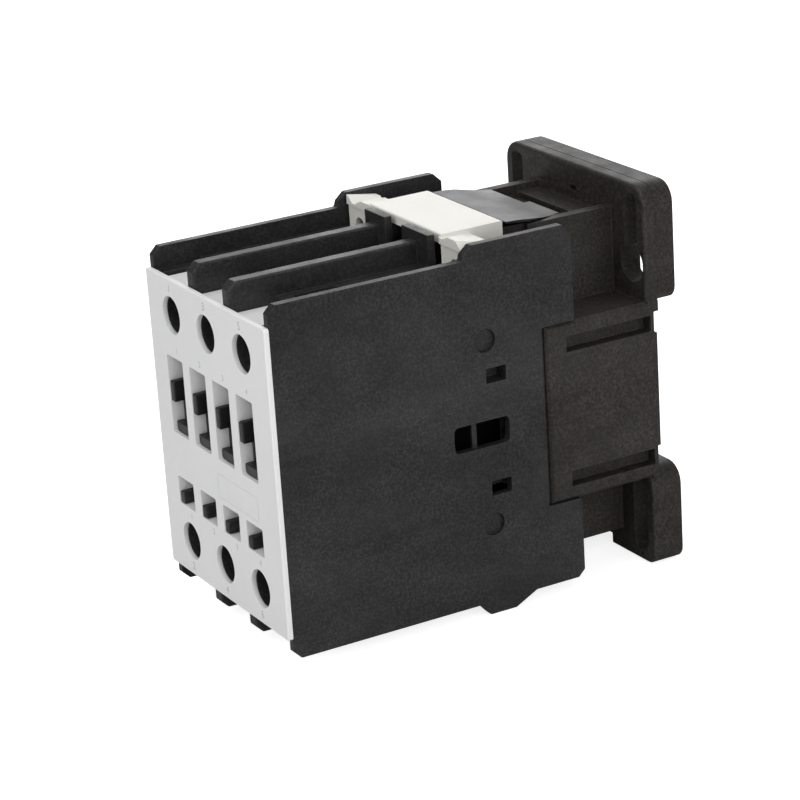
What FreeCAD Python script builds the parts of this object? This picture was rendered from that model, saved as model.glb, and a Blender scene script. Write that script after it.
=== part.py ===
import FreeCAD, Part
import math
import os
import re

import Sketcher

# Three-pole motor contactor for a 35 mm rail or a screwed panel.
# Row frame: +X to the right as a person faces the front, +Y towards the mounting panel, +Z up.
# The origin is on the panel plane, on the centre line of the rail. Sizes are in millimetres.
# "Depth" always means distance behind the front face, so Y = depth - total_depth.

SIZES = {
    # Whole device and pole layout
    "total_width": 55.0, "total_depth": 98.2, "pole_pitch": 16.3, "wall": 2.0, "running_gap": 0.3,
    # Front cover
    "cover_thick": 1.2, "cover_half": 33.7, "cover_corner": 1.2,
    "hole_radius": 4.15, "hole_height": 25.7, "tube_radius": 5.2, "tube_start": 1.3,
    "tube_end": 14.0, "tube_web": 0.6,
    "slot_width": 7.4, "slot_pitch": 10.8, "slot_shift": 0.45, "upper_low": 1.5, "upper_high": 16.1,
    "lower_low": 17.9, "lower_high": 11.6, "duct_wall": 0.8, "duct_end": 6.0,
    "shelf_top": 32.3, "shelf_thick": 1.2, "shelf_end": 12.0, "shelf_gap": 0.15,
    "snap_half": 4.0, "snap_thick": 1.1, "snap_end": 11.0, "barb_start": 9.2, "barb_end": 10.6,
    "barb_rise": 0.6,
    # Housing side walls
    "side_top": 38.2, "side_bevel": 1.7, "ramp_start": 46.0, "ramp_end": 48.4, "raised_top": 41.3,
    "side_rear": 72.5, "rear_bevel": 2.5, "middle_rear": 64.2, "middle_half": 20.0,
    "raised_low": 40.9, "low_flat_end": 54.8, "low_ramp_end": 60.2, "low_bevel": 1.6,
    "mark_radius": 2.6, "mark_depth": 50.3, "mark_height": 20.4, "mark_sink": 0.5,
    "vent_start": 50.3, "vent_end": 55.1, "vent_low": 10.9, "vent_high": 14.1,
    "window_start": 41.9, "window_end": 55.3, "window_half": 2.9, "window_bar": 46.7,
    "window_bar_width": 1.2,
    # Housing barriers, roof and partition
    "barrier_thick": 3.2, "barrier_front": 1.4, "barrier_top": 38.8, "barrier_rear": 46.6,
    "cross_inner": 3.0, "cross_outer": 14.8, "cross_end": 48.2, "cross_top": 41.0, "roof_top": 33.8,
    "wire_half": 5.0, "wire_start": 15.0, "wire_end": 24.9, "floor_end": 64.0,
    "duct_clear": 19.2, "duct_clear_end": 7.2, "slide_half": 8.2,
    "partition_front": 26.6, "partition_rear": 33.0, "opening_half_width": 22.4,
    "thread_clear": 2.8, "latch_front": 7.2, "latch_rear": 9.2, "latch_low": 18.6, "latch_high": 10.9,
    "latch_post": 2.0, "post_low": 17.8, "post_high": 15.1, "post_front": 0.1, "post_inset": 0.1,
    "bay_outer": 22.85, "ledge_low": 31.1, "ledge_high": 33.2,
    "boss_inner": 18.9, "boss_half": 3.4, "boss_front": 46.0, "boss_height": 10.0, "boss_across": 22.0,
    # Main terminals and contacts
    "strap_front": 25.0, "strap_half": 5.0, "strap_inner": 11.6, "strap_outer": 31.0,
    "thread_hole": 2.52, "tip_inner": 12.5, "tip_outer": 15.5, "tip_half": 3.5, "tip_thick": 1.0,
    "contact_gap": 4.05, "bridge_thick": 1.8, "bridge_half": 4.2, "bridge_reach": 16.2,
    "washer_half": 5.2, "washer_thick": 1.6, "washer_hole": 2.6, "washer_lip": 0.8,
    "screw_head": 4.0, "screw_head_high": 3.4, "screw_shank": 2.45, "screw_long": 8.6,
    "screw_tip": 0.6, "cross_long": 2.5, "cross_wide": 0.55, "cross_deep": 1.8,
    # Contact carrier
    "bar_half_width": 21.8, "bar_half_height": 7.5, "bar_front": 8.0, "bar_rear": 21.0,
    "cell_half": 4.6, "cell_front": 11.0, "cell_gap": 0.05,
    "arm_inner": 8.3, "arm_outer": 18.0, "arm_half": 6.4, "arm_rear": 31.0,
    "ear_outer": 10.8, "ear_half": 5.0, "ear_rear": 43.0, "pin_depth": 38.5, "pin_radius": 1.5,
    "pin_gap": 0.03, "pin_half": 10.7,
    "hook_inset": 0.1, "hook_wide": 1.7, "hook_front": 2.6, "head_front": 0.1, "head_low": 5.5,
    "head_high": 10.2, "foot_high": 0.95, "foot_front": 0.75, "foot_inset": 0.25,
    # Contact and return springs
    "contact_spring": 2.5, "contact_wire": 0.35, "contact_pitch": 1.05,
    "return_spring": 2.9, "return_wire": 0.4, "return_pitch": 2.6, "return_across": 14.5,
    "spring_seat": 0.05,
    # Magnet
    "core_half_width": 8.0, "core_half_height": 24.5, "leg_width": 7.0, "moving_front": 34.0,
    "moving_yoke": 9.0, "moving_pole": 56.0, "fixed_pole": 62.1, "fixed_yoke": 77.0,
    "fixed_rear": 86.0, "cushion_rear": 87.5, "groove_low": 20.6, "groove_high": 21.8,
    "groove_deep": 2.4, "ring_thick": 1.0, "ring_gap": 0.1, "ring_front": 62.7, "ring_rear": 63.9,
    # Coil
    "bobbin_front": 50.0, "bobbin_rear": 76.5, "flange_thick": 1.5, "flange_half_width": 18.3,
    "flange_half_height": 17.0, "hub_gap": 0.4, "hub_thick": 1.4, "coil_gap": 0.1,
    "coil_half_width": 17.2, "coil_half_height": 16.1, "coil_corner": 3.0, "tape_thick": 0.4,
    "tower_inner": 9.5, "tower_outer": 15.0, "tower_thick": 2.0, "tower_top": 32.9,
    # Coil terminal head
    "head_top": 41.0, "head_half": 15.6, "head_bottom": 33.0, "head_start": 48.5, "head_end": 63.3,
    "wing_half": 24.6, "wing_end": 58.0, "wing_bottom": 31.0, "wing_front": 39.4,
    "wing_crest": 53.3, "wing_crest_top": 40.7, "wing_slope_end": 56.0, "wing_top": 39.6,
    "coil_screw_across": 20.3, "coil_screw_height": 34.9, "coil_hole": 2.3, "chamber_half": 3.5,
    "chamber_front": 50.0, "chamber_rear": 57.0, "chamber_top": 38.9,
    "coil_strap_front": 55.4, "coil_strap_thick": 1.0, "coil_washer_half": 3.3,
    "coil_washer_thick": 1.0, "coil_washer_hole": 1.85, "coil_head": 2.75, "coil_head_high": 2.2,
    "coil_shank": 1.7, "coil_screw_long": 4.6, "coil_thread_hole": 1.76, "coil_cross": 1.7,
    "coil_cross_wide": 0.4, "coil_cross_deep": 1.1, "tail_inner": 15.8, "tail_top": 33.0,
    "tail_bottom": 29.5, "lead_across": 16.5, "lead_radius": 0.45, "lead_bottom": 16.6,
    # Base
    "tub_half": 15.3, "tub_inner": 12.5, "tub_top": 38.9, "tub_bottom": 35.6, "tub_roof": 38.4,
    "tub_rear": 90.6, "block_rear": 92.3, "panel_rear": 93.2, "panel_half": 12.9,
    "block_inner": 24.0, "groove_start": 70.2, "groove_inner": 13.4, "groove_outer": 16.9,
    "groove_sink": 1.6, "column_start": 77.0, "counterbore": 3.2, "rear_pocket": 5.4,
    "rear_pocket_inner": 16.5, "pocket_start": 80.0, "joint_gap": 0.5, "rib_inner": 8.2, "rib_low": 17.5,
    "rib_high": 22.5, "rib_start": 78.0, "step_start": 78.5, "step_top": 35.8, "beam_start": 83.5,
    "beam_low": 37.4, "beam_high": 37.2, "slope_high": 40.6, "slope_middle": 71.0,
    "slope_middle_high": 39.7, "slope_low": 39.0,
    "web_rear": 94.9, "flange_low": 19.8, "flange_top": 45.3, "flange_corner": 5.5,
    "flange_low_corner": 2.5, "key_across": 22.5, "key_radius": 2.3, "key_top": 43.2,
    "key_entry": 4.2, "key_entry_height": 27.7, "key_relief": 4.5, "flange_vent": 1.0,
    "flange_vent_across": 0.6, "flange_vent_height": 40.0,
    "foot_inner": 10.3, "foot_top": 18.6, "foot_bottom": 40.8, "foot_corner": 4.3,
    "foot_low_corner": 2.8, "foot_slot": 2.2, "foot_slot_low": 37.7, "foot_slot_high": 22.0,
    "rib_across": 14.3, "rib_thick": 1.0, "rib_rear": 97.6, "rib_drain": 0.6, "rib_drain_depth": 96.0,
    "rib_drain_height": 24.6, "seat_lip_low": 17.6, "seat_lip_rear": 93.6,
    "hook_half": 8.0, "hook_lip_front": 93.45, "hook_lip_rear": 96.8, "hook_lip_low": 15.2,
    # Housing screws
    "case_head": 2.9, "case_head_high": 2.4, "case_shank": 1.5, "case_long": 26.0,
    "case_thread_hole": 1.53, "case_clear": 1.7, "case_seat": 78.0, "case_cross": 1.7,
    "case_cross_wide": 0.4, "case_cross_deep": 1.2,
    # Rail clip
    "clip_half": 9.7, "clip_front": 93.45, "clip_rear": 97.0, "clip_top": 15.2, "clip_bottom": 40.6,
    "clip_lip_bevel": 1.4, "tongue_reach": 11.3, "tongue_front": 94.3, "tongue_rear": 96.1,
    "tongue_top": 24.0, "track_gap": 0.2, "clip_window": 2.7, "clip_window_low": 36.2,
    "clip_window_high": 24.0, "lug_half": 2.3, "lug_low": 36.0, "lug_high": 34.0, "lug_rear": 96.6,
    "clip_spring": 1.6, "clip_spring_wire": 0.3, "clip_spring_pitch": 1.3, "pry_half": 2.5,
    "pry_low": 39.6, "pry_high": 38.4,
}
POLES = {1: "-pole_pitch", 2: "0 * pole_pitch", 3: "pole_pitch"}
ENDS = {"line": 1, "load": -1}
SIDES = {"left": -1, "right": 1}

doc = FreeCAD.newDocument("MotorContactor")
sheet = doc.addObject("Spreadsheet::Sheet", "Sizes")
for row, (alias, value) in enumerate(SIZES.items(), 1):
    sheet.set(f"A{row}", alias)
    sheet.set(f"B{row}", str(value))
    sheet.setAlias(f"B{row}", alias)
doc.recompute()

nodes = []


# Helpers: expressions and spans

def ex(text):
    """The expression with every alias read from the sheet."""
    return re.sub(r"[a-z][a-z_]*", lambda word: f"Sizes.{word.group(0)}", text)


def mirrored(near, far, side):
    """The span from near to far on one side of the middle plane."""
    if side > 0:
        return near, far
    return f"-({far})", f"-({near})"


def around(centre, half):
    """The span of the given half width about a centre."""
    return f"({centre}) - ({half})", f"({centre}) + ({half})"


def both(half):
    """The span from -half to half."""
    return f"-({half})", half


def place(item, x, depth, z):
    """Bind an item's position, with its Y given as a depth behind the front face."""
    item.setExpression("Placement.Base.x", ex(x))
    item.setExpression("Placement.Base.y", ex(f"({depth}) - total_depth"))
    item.setExpression("Placement.Base.z", ex(z))


# Helpers: primitives and booleans

def box(x, depth, z):
    """A box from its spans across X, depth and Z."""
    item = doc.addObject("Part::Box", "Box")
    item.setExpression("Length", ex(f"({x[1]}) - ({x[0]})"))
    item.setExpression("Width", ex(f"({depth[1]}) - ({depth[0]})"))
    item.setExpression("Height", ex(f"({z[1]}) - ({z[0]})"))
    place(item, x[0], depth[0], z[0])
    return item


TURNS = {
    "X": FreeCAD.Rotation(FreeCAD.Vector(0, 1, 0), 90),
    "Y": FreeCAD.Rotation(FreeCAD.Vector(1, 0, 0), -90),
    "Z": FreeCAD.Rotation(),
}


def rod(axis, start, length, radius):
    """A cylinder along a row axis, from its start point (x, depth, z)."""
    item = doc.addObject("Part::Cylinder", "Cylinder")
    item.Placement = FreeCAD.Placement(FreeCAD.Vector(), TURNS[axis])
    item.setExpression("Radius", ex(radius))
    item.setExpression("Height", ex(length))
    place(item, *start)
    return item


def bore(x, depth, z, radius):
    """A cylinder along Y over a depth span."""
    return rod("Y", (x, depth[0], z), f"({depth[1]}) - ({depth[0]})", radius)


def fused(parts):
    item = doc.addObject("Part::MultiFuse", "Fuse")
    item.Shapes = parts
    item.Refine = True
    return item


def cut(base, tools):
    item = doc.addObject("Part::Cut", "Cut")
    item.Base = base
    item.Tool = tools[0] if len(tools) == 1 else fused(tools)
    item.Refine = True
    return item


def finish(item, label):
    """Name a finished sub-part after its node."""
    item.Label = label
    nodes.append(item)
    return item


# Helpers: bodies with sketches

def new_body(x, depth, z):
    body = doc.addObject("PartDesign::Body", "Body")
    place(body, x, depth, z)
    return body


def new_sketch(body, role):
    sketch = body.newObject("Sketcher::SketchObject", "Sketch")
    plane = next(item for item in body.Origin.OriginFeatures if item.Role == role)
    sketch.AttachmentSupport = [(plane, "")]
    sketch.MapMode = "FlatFace"
    return sketch


def tie(sketch, geometry, point, axis, text):
    """Fix one coordinate of a sketch point to an expression."""
    index = sketch.addConstraint(Sketcher.Constraint(axis, -1, 1, geometry, point, 1.0))
    sketch.setExpression(f"Constraints[{index}]", ex(text))


def add_loop(sketch, corners):
    """A closed loop of straight lines whose corners are tied to the sheet."""
    first = sketch.GeometryCount
    count = len(corners)
    spots = [2 * math.pi * index / count for index in range(count)]
    points = [FreeCAD.Vector(math.cos(spot), math.sin(spot), 0) for spot in spots]
    for index in range(count):
        sketch.addGeometry(Part.LineSegment(points[index], points[(index + 1) % count]), False)
    for index in range(count):
        after = first + (index + 1) % count
        sketch.addConstraint(Sketcher.Constraint("Coincident", first + index, 2, after, 1))
    for index, (across, along) in enumerate(corners):
        tie(sketch, first + index, 1, "DistanceX", across)
        tie(sketch, first + index, 1, "DistanceY", along)


def rectangle(x, y):
    """The four corners of a rectangle from its two spans."""
    return [(x[0], y[0]), (x[1], y[0]), (x[1], y[1]), (x[0], y[1])]


def pad(body, role, corners, length):
    """A prism: a sketched outline padded by a length."""
    sketch = new_sketch(body, role)
    add_loop(sketch, corners)
    feature = body.newObject("PartDesign::Pad", "Pad")
    feature.Profile = sketch
    feature.setExpression("Length", ex(length))
    doc.recompute()
    return feature


def pocket(body, role, corners, length):
    """A pocket from a plane through the body's origin, checked to remove material."""
    before = body.Shape.Volume
    sketch = new_sketch(body, role)
    add_loop(sketch, corners)
    feature = body.newObject("PartDesign::Pocket", "Pocket")
    feature.Profile = sketch
    feature.setExpression("Length", ex(length))
    doc.recompute()
    if body.Shape.Volume >= before:
        raise RuntimeError(f"{feature.Label} removes nothing")
    return feature


def round_edges(body, radius, wanted):
    """Fillet the edges of a body that a test picks out by their shape."""
    base = body.Tip
    names = [f"Edge{index}" for index, edge in enumerate(base.Shape.Edges, 1) if wanted(edge)]
    if not names:
        raise RuntimeError("no edge to round")
    feature = body.newObject("PartDesign::Fillet", "Fillet")
    feature.Base = (base, names)
    feature.setExpression("Radius", ex(radius))
    doc.recompute()
    return feature


def along_y(edge):
    """Whether an edge is a straight line parallel to Y."""
    box_of_edge = edge.BoundBox
    return box_of_edge.XLength < 1e-6 and box_of_edge.ZLength < 1e-6


def cross_outline(long, wide):
    """The outline of a cross recess from half its length and half its width."""
    arm = [(long, wide), (wide, wide), (wide, long)]
    turned = [(f"-({wide})", long), (f"-({wide})", wide), (f"-({long})", wide)]
    upper = arm + turned
    lower = [(flip(x), flip(y)) for x, y in upper]
    return upper + lower


def flip(text):
    """The negative of an expression."""
    return text[2:-1] if text.startswith("-(") else f"-({text})"


def screw(place_at, head, head_high, shank, long, recess):
    """A pan-head screw along Y: a turned profile with a cross recess in its head."""
    body = new_body(*place_at)
    profile = new_sketch(body, "XY_Plane")
    zero = "0 * wall"
    end = f"({head_high}) + ({long})"
    add_loop(profile, [
        (zero, zero), (f"({head}) - screw_tip", zero), (head, "screw_tip"), (head, head_high),
        (shank, head_high), (shank, f"{end} - screw_tip"), (f"({shank}) - screw_tip", end), (zero, end),
    ])
    turned = body.newObject("PartDesign::Revolution", "Revolution")
    turned.Profile = profile
    turned.ReferenceAxis = (profile, ["V_Axis"])
    turned.Angle = 360
    doc.recompute()
    long_half, wide_half, deep = recess
    pocket(body, "XZ_Plane", cross_outline(long_half, wide_half), deep)
    return body


def spring(x, depth, z, axis, radius, wire, pitch, length):
    """A round-wire compression spring along a row axis, centred on its start point."""
    helix = doc.addObject("Part::Helix", "Helix")
    helix.Placement = FreeCAD.Placement(FreeCAD.Vector(), TURNS[axis])
    helix.setExpression("Radius", ex(radius))
    helix.setExpression("Pitch", ex(pitch))
    helix.setExpression("Height", ex(length))
    place(helix, x, depth, z)
    section = doc.addObject("Part::Circle", "Circle")
    section.setExpression("Radius", ex(wire))
    if axis == "Z":
        section.Placement = FreeCAD.Placement(
            FreeCAD.Vector(), FreeCAD.Rotation(FreeCAD.Vector(1, 0, 0), 90))
    place(section, f"({x}) + ({radius})", depth, z)
    item = doc.addObject("Part::Sweep", "Sweep")
    item.Sections = [section]
    item.Spine = (helix, [])
    item.Solid = True
    item.Frenet = True
    return item


# Front cover

def slot_span(index):
    """The X span of one of the four slots in each row."""
    return around(f"({index} - 1.5) * slot_pitch - slot_shift", "slot_width / 2")


def slot_rows():
    """The Z spans of the upper and lower slot rows."""
    return ("-upper_low", "upper_high"), ("-lower_low", "-lower_high")


def bay_spans():
    """The X spans of the three equal bays, one for each pole."""
    inner = "pole_pitch / 2 - barrier_thick / 2"
    outer = "pole_pitch / 2 + barrier_thick / 2"
    return [mirrored(outer, "bay_outer", -1), both(inner), mirrored(outer, "bay_outer", 1)]


def make_front_cover():
    plate = new_body("0 * wall", "cover_thick", "0 * wall")
    pad(plate, "XZ_Plane", rectangle(both("total_width / 2"), both("cover_half")), "cover_thick")
    round_edges(plate, "cover_corner", along_y)
    added = [plate]
    removed = []
    for low, high in slot_rows():
        for index in range(4):
            left, right = slot_span(index)
            added.append(box((f"{left} - duct_wall", f"{right} + duct_wall"),
                             ("cover_thick", "duct_end"), (f"{low} - duct_wall", f"{high} + duct_wall")))
            removed.append(box((left, right), ("-wall", "duct_end + wall"), (low, high)))
    for end in ENDS.values():
        for centre in POLES.values():
            removed.append(bore(centre, ("-wall", "cover_thick + wall"), f"{end} * hole_height",
                                "hole_radius"))
        for left, right in bay_spans():
            added.append(box((f"{left} + shelf_gap", f"{right} - shelf_gap"), ("cover_thick", "shelf_end"),
                             mirrored("shelf_top - shelf_thick", "shelf_top", end)))
    for side in SIDES.values():
        outer = "total_width / 2 - wall - shelf_gap"
        added.append(box(mirrored(f"{outer} - snap_thick", outer, side), ("cover_thick", "snap_end"),
                         both("snap_half")))
        added.append(box(mirrored(f"{outer} - snap_thick", f"{outer} + barb_rise", side),
                         ("barb_start", "barb_end"), both("snap_half")))
    finish(cut(fused(added), removed), "front_cover")


# Housing with phase barriers

def side_outline():
    """Side wall outline as (depth, z), clockwise from the front bottom corner."""
    return [
        ("cover_thick", "-side_top + side_bevel"), ("cover_thick", "side_top - side_bevel"),
        ("cover_thick + side_bevel", "side_top"), ("ramp_start", "side_top"),
        ("ramp_end", "raised_top"), ("side_rear - rear_bevel", "raised_top"),
        ("side_rear", "raised_top - rear_bevel"), ("side_rear", "middle_half"),
        ("middle_rear", "middle_half"), ("middle_rear", "-middle_half"),
        ("side_rear", "-middle_half"), ("side_rear", "-side_top + low_bevel"),
        ("side_rear - low_bevel", "-side_top"), ("low_ramp_end", "-side_top"),
        ("low_flat_end", "-raised_low"), ("ramp_end", "-raised_low"), ("ramp_start", "-side_top"),
        ("cover_thick + side_bevel", "-side_top"),
    ]


def make_side_wall(side):
    start = "total_width / 2 - wall" if side > 0 else "-total_width / 2"
    body = new_body(start, "0 * wall", "0 * wall")
    pad(body, "YZ_Plane", side_outline(), "wall")
    return body


def make_barrier(side):
    body = new_body(f"{side} * pole_pitch / 2 - barrier_thick / 2", "0 * wall", "0 * wall")
    pad(body, "YZ_Plane", [
        ("barrier_front", "-barrier_top + wall"), ("barrier_front", "barrier_top - wall"),
        ("barrier_front + wall", "barrier_top"), ("barrier_rear", "barrier_top"),
        ("barrier_rear", "-barrier_top"), ("barrier_front + wall", "-barrier_top"),
    ], "barrier_thick")
    return body


def housing_solids():
    inside = both("total_width / 2 - wall")
    solids = [
        box(inside, ("partition_front", "partition_rear"), both("roof_top - wall")),
        box(inside, ("latch_front", "latch_rear"), ("-latch_low", "-latch_high")),
        box(inside, ("latch_front", "latch_rear"), ("latch_high", "latch_low")),
        box(inside, ("shelf_end", "floor_end"), ("-roof_top", "-roof_top + wall")),
        box(inside, ("shelf_end", "cross_end"), ("roof_top - wall", "roof_top")),
    ]
    for side in SIDES.values():
        solids.append(make_side_wall(side))
        solids.append(make_barrier(side))
        for end in ENDS.values():
            cross_reach = "cross_top" if end > 0 else "side_top"
            solids.append(box(mirrored("cross_inner", "cross_outer", side), ("barrier_rear", "cross_end"),
                              mirrored("roof_top - wall", cross_reach, end)))
            solids.append(box(mirrored("boss_inner", "total_width / 2 - wall", side),
                              ("boss_front", "middle_rear"), around(f"{end} * boss_height", "boss_half")))
            solids.append(box(mirrored("bay_outer", "total_width / 2 - wall", side),
                              ("barrier_front", "shelf_end"), mirrored("ledge_low", "ledge_high", end)))
    for end in ENDS.values():
        height = f"{end} * hole_height"
        solids.append(box(inside, ("tube_start", "tube_end"), around(height, "tube_web")))
        for centre in POLES.values():
            solids.append(bore(centre, ("tube_start", "tube_end"), height, "tube_radius"))
    for index in range(4):
        left, _ = slot_span(index)
        solids.append(box((f"{left} + post_inset", f"{left} + post_inset + latch_post"),
                          ("post_front", "latch_front"), ("-post_low", "-post_high")))
    return solids


def housing_openings():
    half = "total_width / 2"
    barrier_outer = both("pole_pitch / 2 + barrier_thick")
    tools = [
        box(barrier_outer, ("0 * wall", "duct_clear_end"), both("duct_clear")),
        box(both("opening_half_width"), ("duct_clear_end", "partition_rear + wall"),
            ("-slide_half", "head_high + running_gap")),
        box(barrier_outer, ("partition_rear", "cross_end + wall"), both("roof_top - wall")),
    ]
    for end in ENDS.values():
        for centre in POLES.values():
            tools.append(box(around(centre, "wire_half"), ("wire_start", "wire_end"),
                             mirrored("roof_top - 2 * wall", "roof_top + wall", end)))
            tools.append(bore(centre, ("partition_front - wall", "partition_rear + wall"),
                              f"{end} * hole_height", "thread_clear"))
            tools.append(bore(centre, ("0 * wall", "tube_end + wall / 4"), f"{end} * hole_height",
                              "hole_radius"))
    for side in SIDES.values():
        face = mirrored(f"{half} - mark_sink", f"{half} + wall", side)
        wall_span = mirrored(f"{half} - 2 * wall", f"{half} + wall", side)
        inner_face = mirrored(f"{half} - 2 * wall", f"{half} - wall + barb_rise + shelf_gap", side)
        tools.append(box(inner_face, ("barb_start - running_gap", "barb_end + running_gap"),
                         both("snap_half + running_gap")))
        for end in ENDS.values():
            height = f"{end} * mark_height"
            tools.append(rod("X", (face[0], "mark_depth", height), f"({face[1]}) - ({face[0]})",
                             "mark_radius"))
            tools.append(box(wall_span, ("vent_start", "vent_end"),
                             mirrored("vent_low", "vent_high", end)))
            tools.append(bore(f"{side} * boss_across", ("boss_front + wall", "middle_rear + wall"),
                              f"{end} * boss_height", "case_thread_hole"))
        tools.append(box(wall_span, ("window_start", "window_bar"), both("window_half")))
        tools.append(box(wall_span, ("window_bar + window_bar_width", "window_end"),
                         both("window_half")))
    return tools


def make_housing():
    finish(cut(fused(housing_solids()), housing_openings()), "housing")


# Base with rail seat, flange and feet

def make_flange():
    """The upper mounting flange: a web with two keyholes and a rim, relieved for the screw heads."""
    body = new_body("0 * wall", "total_depth", "0 * wall")
    depth = "total_depth - tub_rear"
    pad(body, "XZ_Plane", rectangle(both("total_width / 2"), ("flange_low", "flange_top")), depth)
    middle = (SIZES["flange_low"] + SIZES["flange_top"]) / 2
    round_edges(body, "flange_corner", lambda edge: along_y(edge) and edge.CenterOfMass.z > middle)
    round_edges(body, "flange_low_corner", lambda edge: along_y(edge)
                and edge.CenterOfMass.z < middle
                and abs(edge.CenterOfMass.x) > SIZES["total_width"] / 2 - 1e-3)
    hollow = ("web_rear", "total_depth + wall")
    through = ("tub_rear - wall", "web_rear")
    tools = [
        box(both("total_width / 2 - wall"), hollow, ("flange_low + wall", "flange_top - wall")),
        box(around("flange_vent_across", "flange_vent"), ("tub_rear - wall", "web_rear + wall"),
            around("flange_vent_height", "flange_vent")),
    ]
    for side in SIDES.values():
        centre = f"{side} * key_across"
        tools.append(bore(centre, through, "key_entry_height", "key_entry"))
        tools.append(box(around(centre, "key_radius"), through,
                         ("key_entry_height", "key_top")))
        tools.append(box(around(centre, "key_relief"), hollow, around("key_entry_height", "key_relief")))
    ribs = [make_rib(side) for side in SIDES.values()]
    return fused([cut(body, tools)] + ribs)


def make_rib(side):
    """A stiffening rib in the hollow behind the flange web, with a drain hole."""
    across = mirrored("rib_across", "rib_across + rib_thick", side)
    rib = box(across, ("web_rear - wall / 4", "rib_rear"),
              ("flange_low + wall / 2", "flange_top - wall / 2"))
    drain = rod("X", (f"({across[0]}) - wall", "rib_drain_depth", "rib_drain_height"),
                "rib_thick + 2 * wall", "rib_drain")
    return cut(rib, [drain])


def make_foot(side):
    """A lower mounting foot with a slot and a hollow behind it."""
    body = new_body("0 * wall", "total_depth", "0 * wall")
    across = mirrored("foot_inner", "total_width / 2", side)
    pad(body, "XZ_Plane", rectangle(across, ("-foot_bottom", "-foot_top")), "total_depth - tub_rear")
    edge_x = SIZES["total_width"] / 2 - 1e-3
    middle = -(SIZES["foot_top"] + SIZES["foot_bottom"]) / 2
    round_edges(body, "foot_corner", lambda edge: along_y(edge)
                and abs(edge.CenterOfMass.x) > edge_x and edge.CenterOfMass.z > middle)
    round_edges(body, "foot_low_corner", lambda edge: along_y(edge)
                and abs(edge.CenterOfMass.x) > edge_x and edge.CenterOfMass.z < middle)
    centre = f"{side} * key_across"
    through = ("tub_rear - wall", "web_rear + wall")
    high = "-foot_slot_high - foot_slot"
    low = "-foot_slot_low + foot_slot"
    tools = [
        box(mirrored("foot_inner + wall", "total_width / 2 - wall", side),
            ("web_rear", "total_depth + wall"), ("-foot_bottom + wall", "-foot_slot_high")),
        bore(centre, through, high, "foot_slot"),
        bore(centre, through, low, "foot_slot"),
        box(around(centre, "foot_slot"), through, (low, high)),
        box(mirrored("foot_inner - wall", "tongue_reach + track_gap", side),
            ("tongue_front - track_gap", "tongue_rear + track_gap"),
            ("-foot_bottom - wall", "-foot_top - wall")),
    ]
    return cut(body, tools)


def base_solids():
    half = "total_width / 2"
    solids = [
        box(both(half), ("middle_rear", "block_rear"), both("middle_half")),
        box(both(half), ("block_rear", "panel_rear"), both("panel_half")),
        box(both(half), ("block_rear", "seat_lip_rear"), ("seat_lip_low", "middle_half")),
        box(both("tub_half"), ("middle_rear", "tub_rear"), ("-tub_bottom", "tub_top")),
        box(both("foot_inner"), ("tub_rear", "panel_rear"), ("-foot_bottom", "-middle_half")),
        box(both("lug_half"), ("panel_rear", "lug_rear"), ("-lug_low", "-lug_high")),
        box(both("hook_half"), ("tub_rear", "hook_lip_rear"),
            ("middle_half - running_gap", "flange_low + wall")),
        box(both("hook_half"), ("hook_lip_front", "hook_lip_rear"), ("hook_lip_low", "middle_half")),
        make_flange(),
    ]
    for side in SIDES.values():
        solids.append(make_foot(side))
    return solids


def base_openings():
    """Hollows for the coil and the magnet, side grooves, screw wells and the roof step."""
    front = "middle_rear - wall"
    tools = [
        box(both("block_inner"), (front, "column_start"), both("middle_half - wall")),
        box(both("tub_inner"), (front, "cushion_rear"), ("-tub_bottom + wall", "step_top - wall")),
        box(both("tub_inner"), (front, "step_start - wall"), ("step_top - 2 * wall", "tub_roof - wall")),
        box(both("tub_inner + running_gap"), ("step_start", "tub_rear"), ("step_top", "tub_top + wall")),
        box(both("tub_inner + running_gap"), (front, "step_start + wall"), ("tub_roof", "tub_top + wall")),
    ]
    for side in SIDES.values():
        tools.append(box(mirrored("total_width / 2 - joint_gap", "total_width / 2 + wall", side),
                         (front, "middle_rear + joint_gap"), both("middle_half + wall")))
        for end in ENDS.values():
            tools.append(box(mirrored("total_width / 2 - groove_sink", "total_width / 2 + wall", side),
                             ("groove_start", "panel_rear + wall"),
                             mirrored("groove_inner", "groove_outer", end)))
            spot = (f"{side} * boss_across", f"{end} * boss_height")
            tools.append(bore(spot[0], (front, "panel_rear + wall"), spot[1], "case_clear"))
            tools.append(bore(spot[0], ("case_seat", "panel_rear + wall"), spot[1], "counterbore"))
        tools.append(box(mirrored("rear_pocket_inner", "total_width / 2 - wall", side),
                         ("pocket_start", "panel_rear + wall"), both("rear_pocket")))
    return tools


def make_slope():
    """The sloped roof over the tub walls, behind the coil terminal head."""
    body = new_body("-tub_half", "0 * wall", "0 * wall")
    pad(body, "YZ_Plane", [
        ("middle_rear", "tub_roof - joint_gap"), ("middle_rear", "slope_high"),
        ("slope_middle", "slope_middle_high"), ("step_start", "slope_low"),
        ("step_start", "tub_roof - joint_gap"),
    ], "2 * tub_half")
    return body


def make_beam():
    """The sloped beam across the tub in front of the flange."""
    body = new_body("-tub_inner - joint_gap", "0 * wall", "0 * wall")
    pad(body, "YZ_Plane", [
        ("beam_start", "step_top - joint_gap"), ("beam_start", "beam_low"),
        ("tub_rear + joint_gap", "beam_high"), ("tub_rear + joint_gap", "step_top - joint_gap"),
    ], "2 * (tub_inner + joint_gap)")
    return body


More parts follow.
